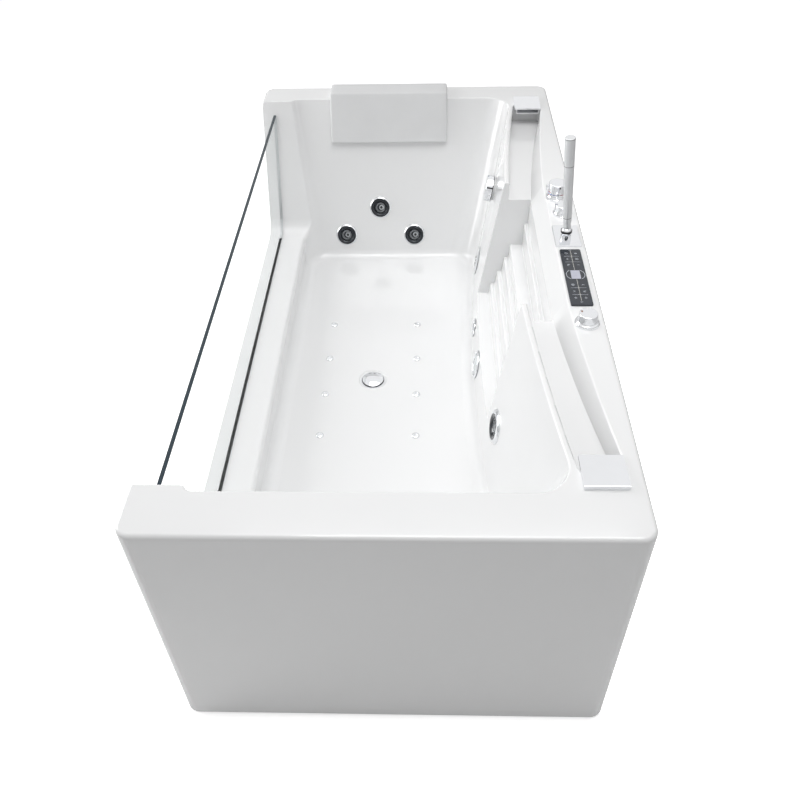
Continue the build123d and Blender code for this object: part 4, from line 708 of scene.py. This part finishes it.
for name, (origin, out) in SEATS.items():
    flange, outer, wide = SIDE_RADII if name == "side_jet" else BACK_RADII
    finished(shade_ring(f"{name}_funnel", flange, outer, origin, out), painted_jet_shade, "bath")
    body = NOZZLE_BODIES[name]
    corners = [(TIP_BORE, TIP_TOP), (wide - TIP_TAPER, TIP_TOP), (wide, TIP_LOW), (TIP_BORE, TIP_LOW)]
    tip = turned(f"{name}_tip", eased(corners, 0.0005), origin, out, 48, True, TIP_SHIFT)
    finished(tip, pale_plastic, body)
    # Painted shade: the dark plug in the nozzle's bore.
    wall = [(0.0041, -0.0045), (0.0041, 0.0002)]
    throat = turned(f"{name}_throat", wall, origin, out, 32, shift=TIP_SHIFT)
    finished(throat, painted_bore_shade, body)
    lines = [ring_at("line", origin, radius, 0.0002, 0.0010, 0.0009, out) for radius in LINE_RADII]
    finished(joined(f"{name}_lines", lines), pale_plastic, body)

# Flat wall fittings: grey joint lines, and the rings of the lens
line_grey = surface_finish("fitting_line", (0.20, 0.215, 0.23), 0.35, spread=0.05, patch=120.0, tone=0.15)
LIGHT = ((0.196774, -0.008, 0.222), (-0.98784, -0.00121, 0.15547))
SENSOR = ((0.19798, 0.155, 0.214), (-0.98721, 0.03111, 0.15633))
SUCTION = ((0.219459, 0.459, 0.230), (-0.98319, 0.0916, 0.15796))
FLANGE_RADII = ((LIGHT, 0.0366), (SENSOR, 0.0256), (SUCTION, 0.0406))
LENS_DOME, LENS_FALL, LENS_RADIUS = 0.007, 0.006, 0.029
LENS_RINGS = (0.0100, 0.0180, 0.0250)
outlines = []
for (origin, out), radius in FLANGE_RADII:
    outlines.append(ring_at("line", origin, radius, 0.0, 0.0012, 0.0009, out))
for radius in LENS_RINGS:
    height = LENS_DOME - LENS_FALL * (radius / LENS_RADIUS) ** 2
    outlines.append(ring_at("line", LIGHT[0], radius, height - 0.0002, height + 0.0003, 0.0008, LIGHT[1]))
outlines.append(ring_at("line", SENSOR[0], 0.0138, 0.0010, 0.0014, 0.0008, SENSOR[1]))
finished(joined("fitting_lines", outlines), line_grey, "bath")

# Overflow knob: dark joint behind it and the mark on its rim
OVERFLOW = np.array([0.256957, 0.470, 0.462])
MARK_BEARING, MARK_HEIGHT, RIM_RADIUS = 0.5, 0.0155, 0.0356
right, up, out = seat_axes((-0.98393, 0.09406, 0.15179))
overflow_joint = ring_at("overflow_joint", OVERFLOW, 0.0363, 0.0054, 0.0072, 0.0010, out)
finished(overflow_joint, ink_black, "overflow_control")
rim_way = math.cos(MARK_BEARING) * right + math.sin(MARK_BEARING) * up
rim_plane = (OVERFLOW + out * MARK_HEIGHT + rim_way * RIM_RADIUS, out, np.cross(rim_way, out))
mark_outline = eased(CORNERS * np.array([0.0085, 0.0022]), 0.0006, 4)
overflow_mark = prism("overflow_mark", mark_outline, rim_plane, 0.0, 0.0008)
finished(overflow_mark, ink_black, "overflow_control")

# Waste: dark joint round the plug
WASTE = (-0.076, 0.001, 0.0)
plug_joint = ring_at("plug_joint", WASTE, 0.0298, 0.15895, 0.1597, 0.0016)
finished(plug_joint, ink_black, "bath")

# Head pillow: its side view as points along and up, its two ends across, and its easing
PILLOW_SIDE = np.array([
    (0.7171, 0.4841), (0.7022, 0.4900), (0.7533, 0.6200),
    (0.8260, 0.6200), (0.8260, 0.6003), (0.7627, 0.6003),
])
PILLOW_LOW, PILLOW_HIGH = -0.222, 0.127
END_DRAW, CORNER_EASE, CROWN, CROWN_POWER = 0.0055, 0.0045, 0.0013, 0.6
END_STEPS, MIDDLE_STEPS, CORNER_STEPS, RUN_STEPS = 7, 26, 7, 14
CROWNED_RUNS = (1, 2)
PILLOW_ANGLE = 50.0


def pillow(name):
    """Foam pad bent over the rim: a side view carried along it, its front and top raised by a low crown.

    Each end is drawn in along a quarter circle. The crown is a sine across each face, times a power of a
    sine along the pad.
    """
    side = PILLOW_SIDE
    low, high = PILLOW_LOW, PILLOW_HIGH
    angle = np.radians(np.linspace(0.0, 90.0, END_STEPS))
    inset = END_DRAW * (1 - np.sin(angle))
    ends = END_DRAW * (1 - np.cos(angle))
    middle = np.linspace(low + END_DRAW, high - END_DRAW, MIDDLE_STEPS)[1:-1]
    stations = np.concatenate([low + ends, middle, (high - ends)[::-1]])
    insets = np.concatenate([inset, np.zeros(len(middle)), inset[::-1]])
    following = np.roll(side, -1, axis=0)
    ahead = following - side
    ahead = ahead / np.linalg.norm(ahead, axis=1, keepdims=True)
    turning = np.sign((side[:, 0] * following[:, 1] - side[:, 1] * following[:, 0]).sum())
    outward = turning * np.stack([ahead[:, 1], -ahead[:, 0]], axis=1)
    before = np.roll(outward, 1, axis=0)
    mitre = (outward + before) / (1 + (outward * before).sum(1, keepdims=True))
    run = np.linspace(0.0, 1.0, RUN_STEPS)[1:-1, None]
    rings = []
    for station, drawn in zip(stations, insets):
        corners = eased(side - mitre * drawn, CORNER_EASE - 0.5 * drawn, CORNER_STEPS)
        corners = corners.reshape(len(side), CORNER_STEPS, 2)
        raise_here = 0.0
        if low < station < high:
            raise_here = math.sin(math.pi * (station - low) / (high - low)) ** CROWN_POWER * CROWN
        points = []
        for index in range(len(side)):
            points.append(corners[index])
            start, end = corners[index][-1], corners[(index + 1) % len(side)][0]
            raised = raise_here * np.sin(math.pi * run) if index in CROWNED_RUNS else 0.0
            points.append(start * (1 - run) + end * run + outward[index] * raised)
        ring = np.concatenate(points)
        rings.append(np.column_stack([np.full(len(ring), station), ring]))
    rings = np.array(rings)
    count, around = rings.shape[:2]
    faces = grid_faces(count, around, False, True).tolist()
    faces.append(list(range(around))[::-1])
    faces.append([(count - 1) * around + j for j in range(around)])
    return link_mesh(name, rings.reshape(-1, 3), faces, PILLOW_ANGLE)


cushion = finished(pillow("pillow_pad"), finishes["pillow_foam"], "pillow")
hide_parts("head_pillow")
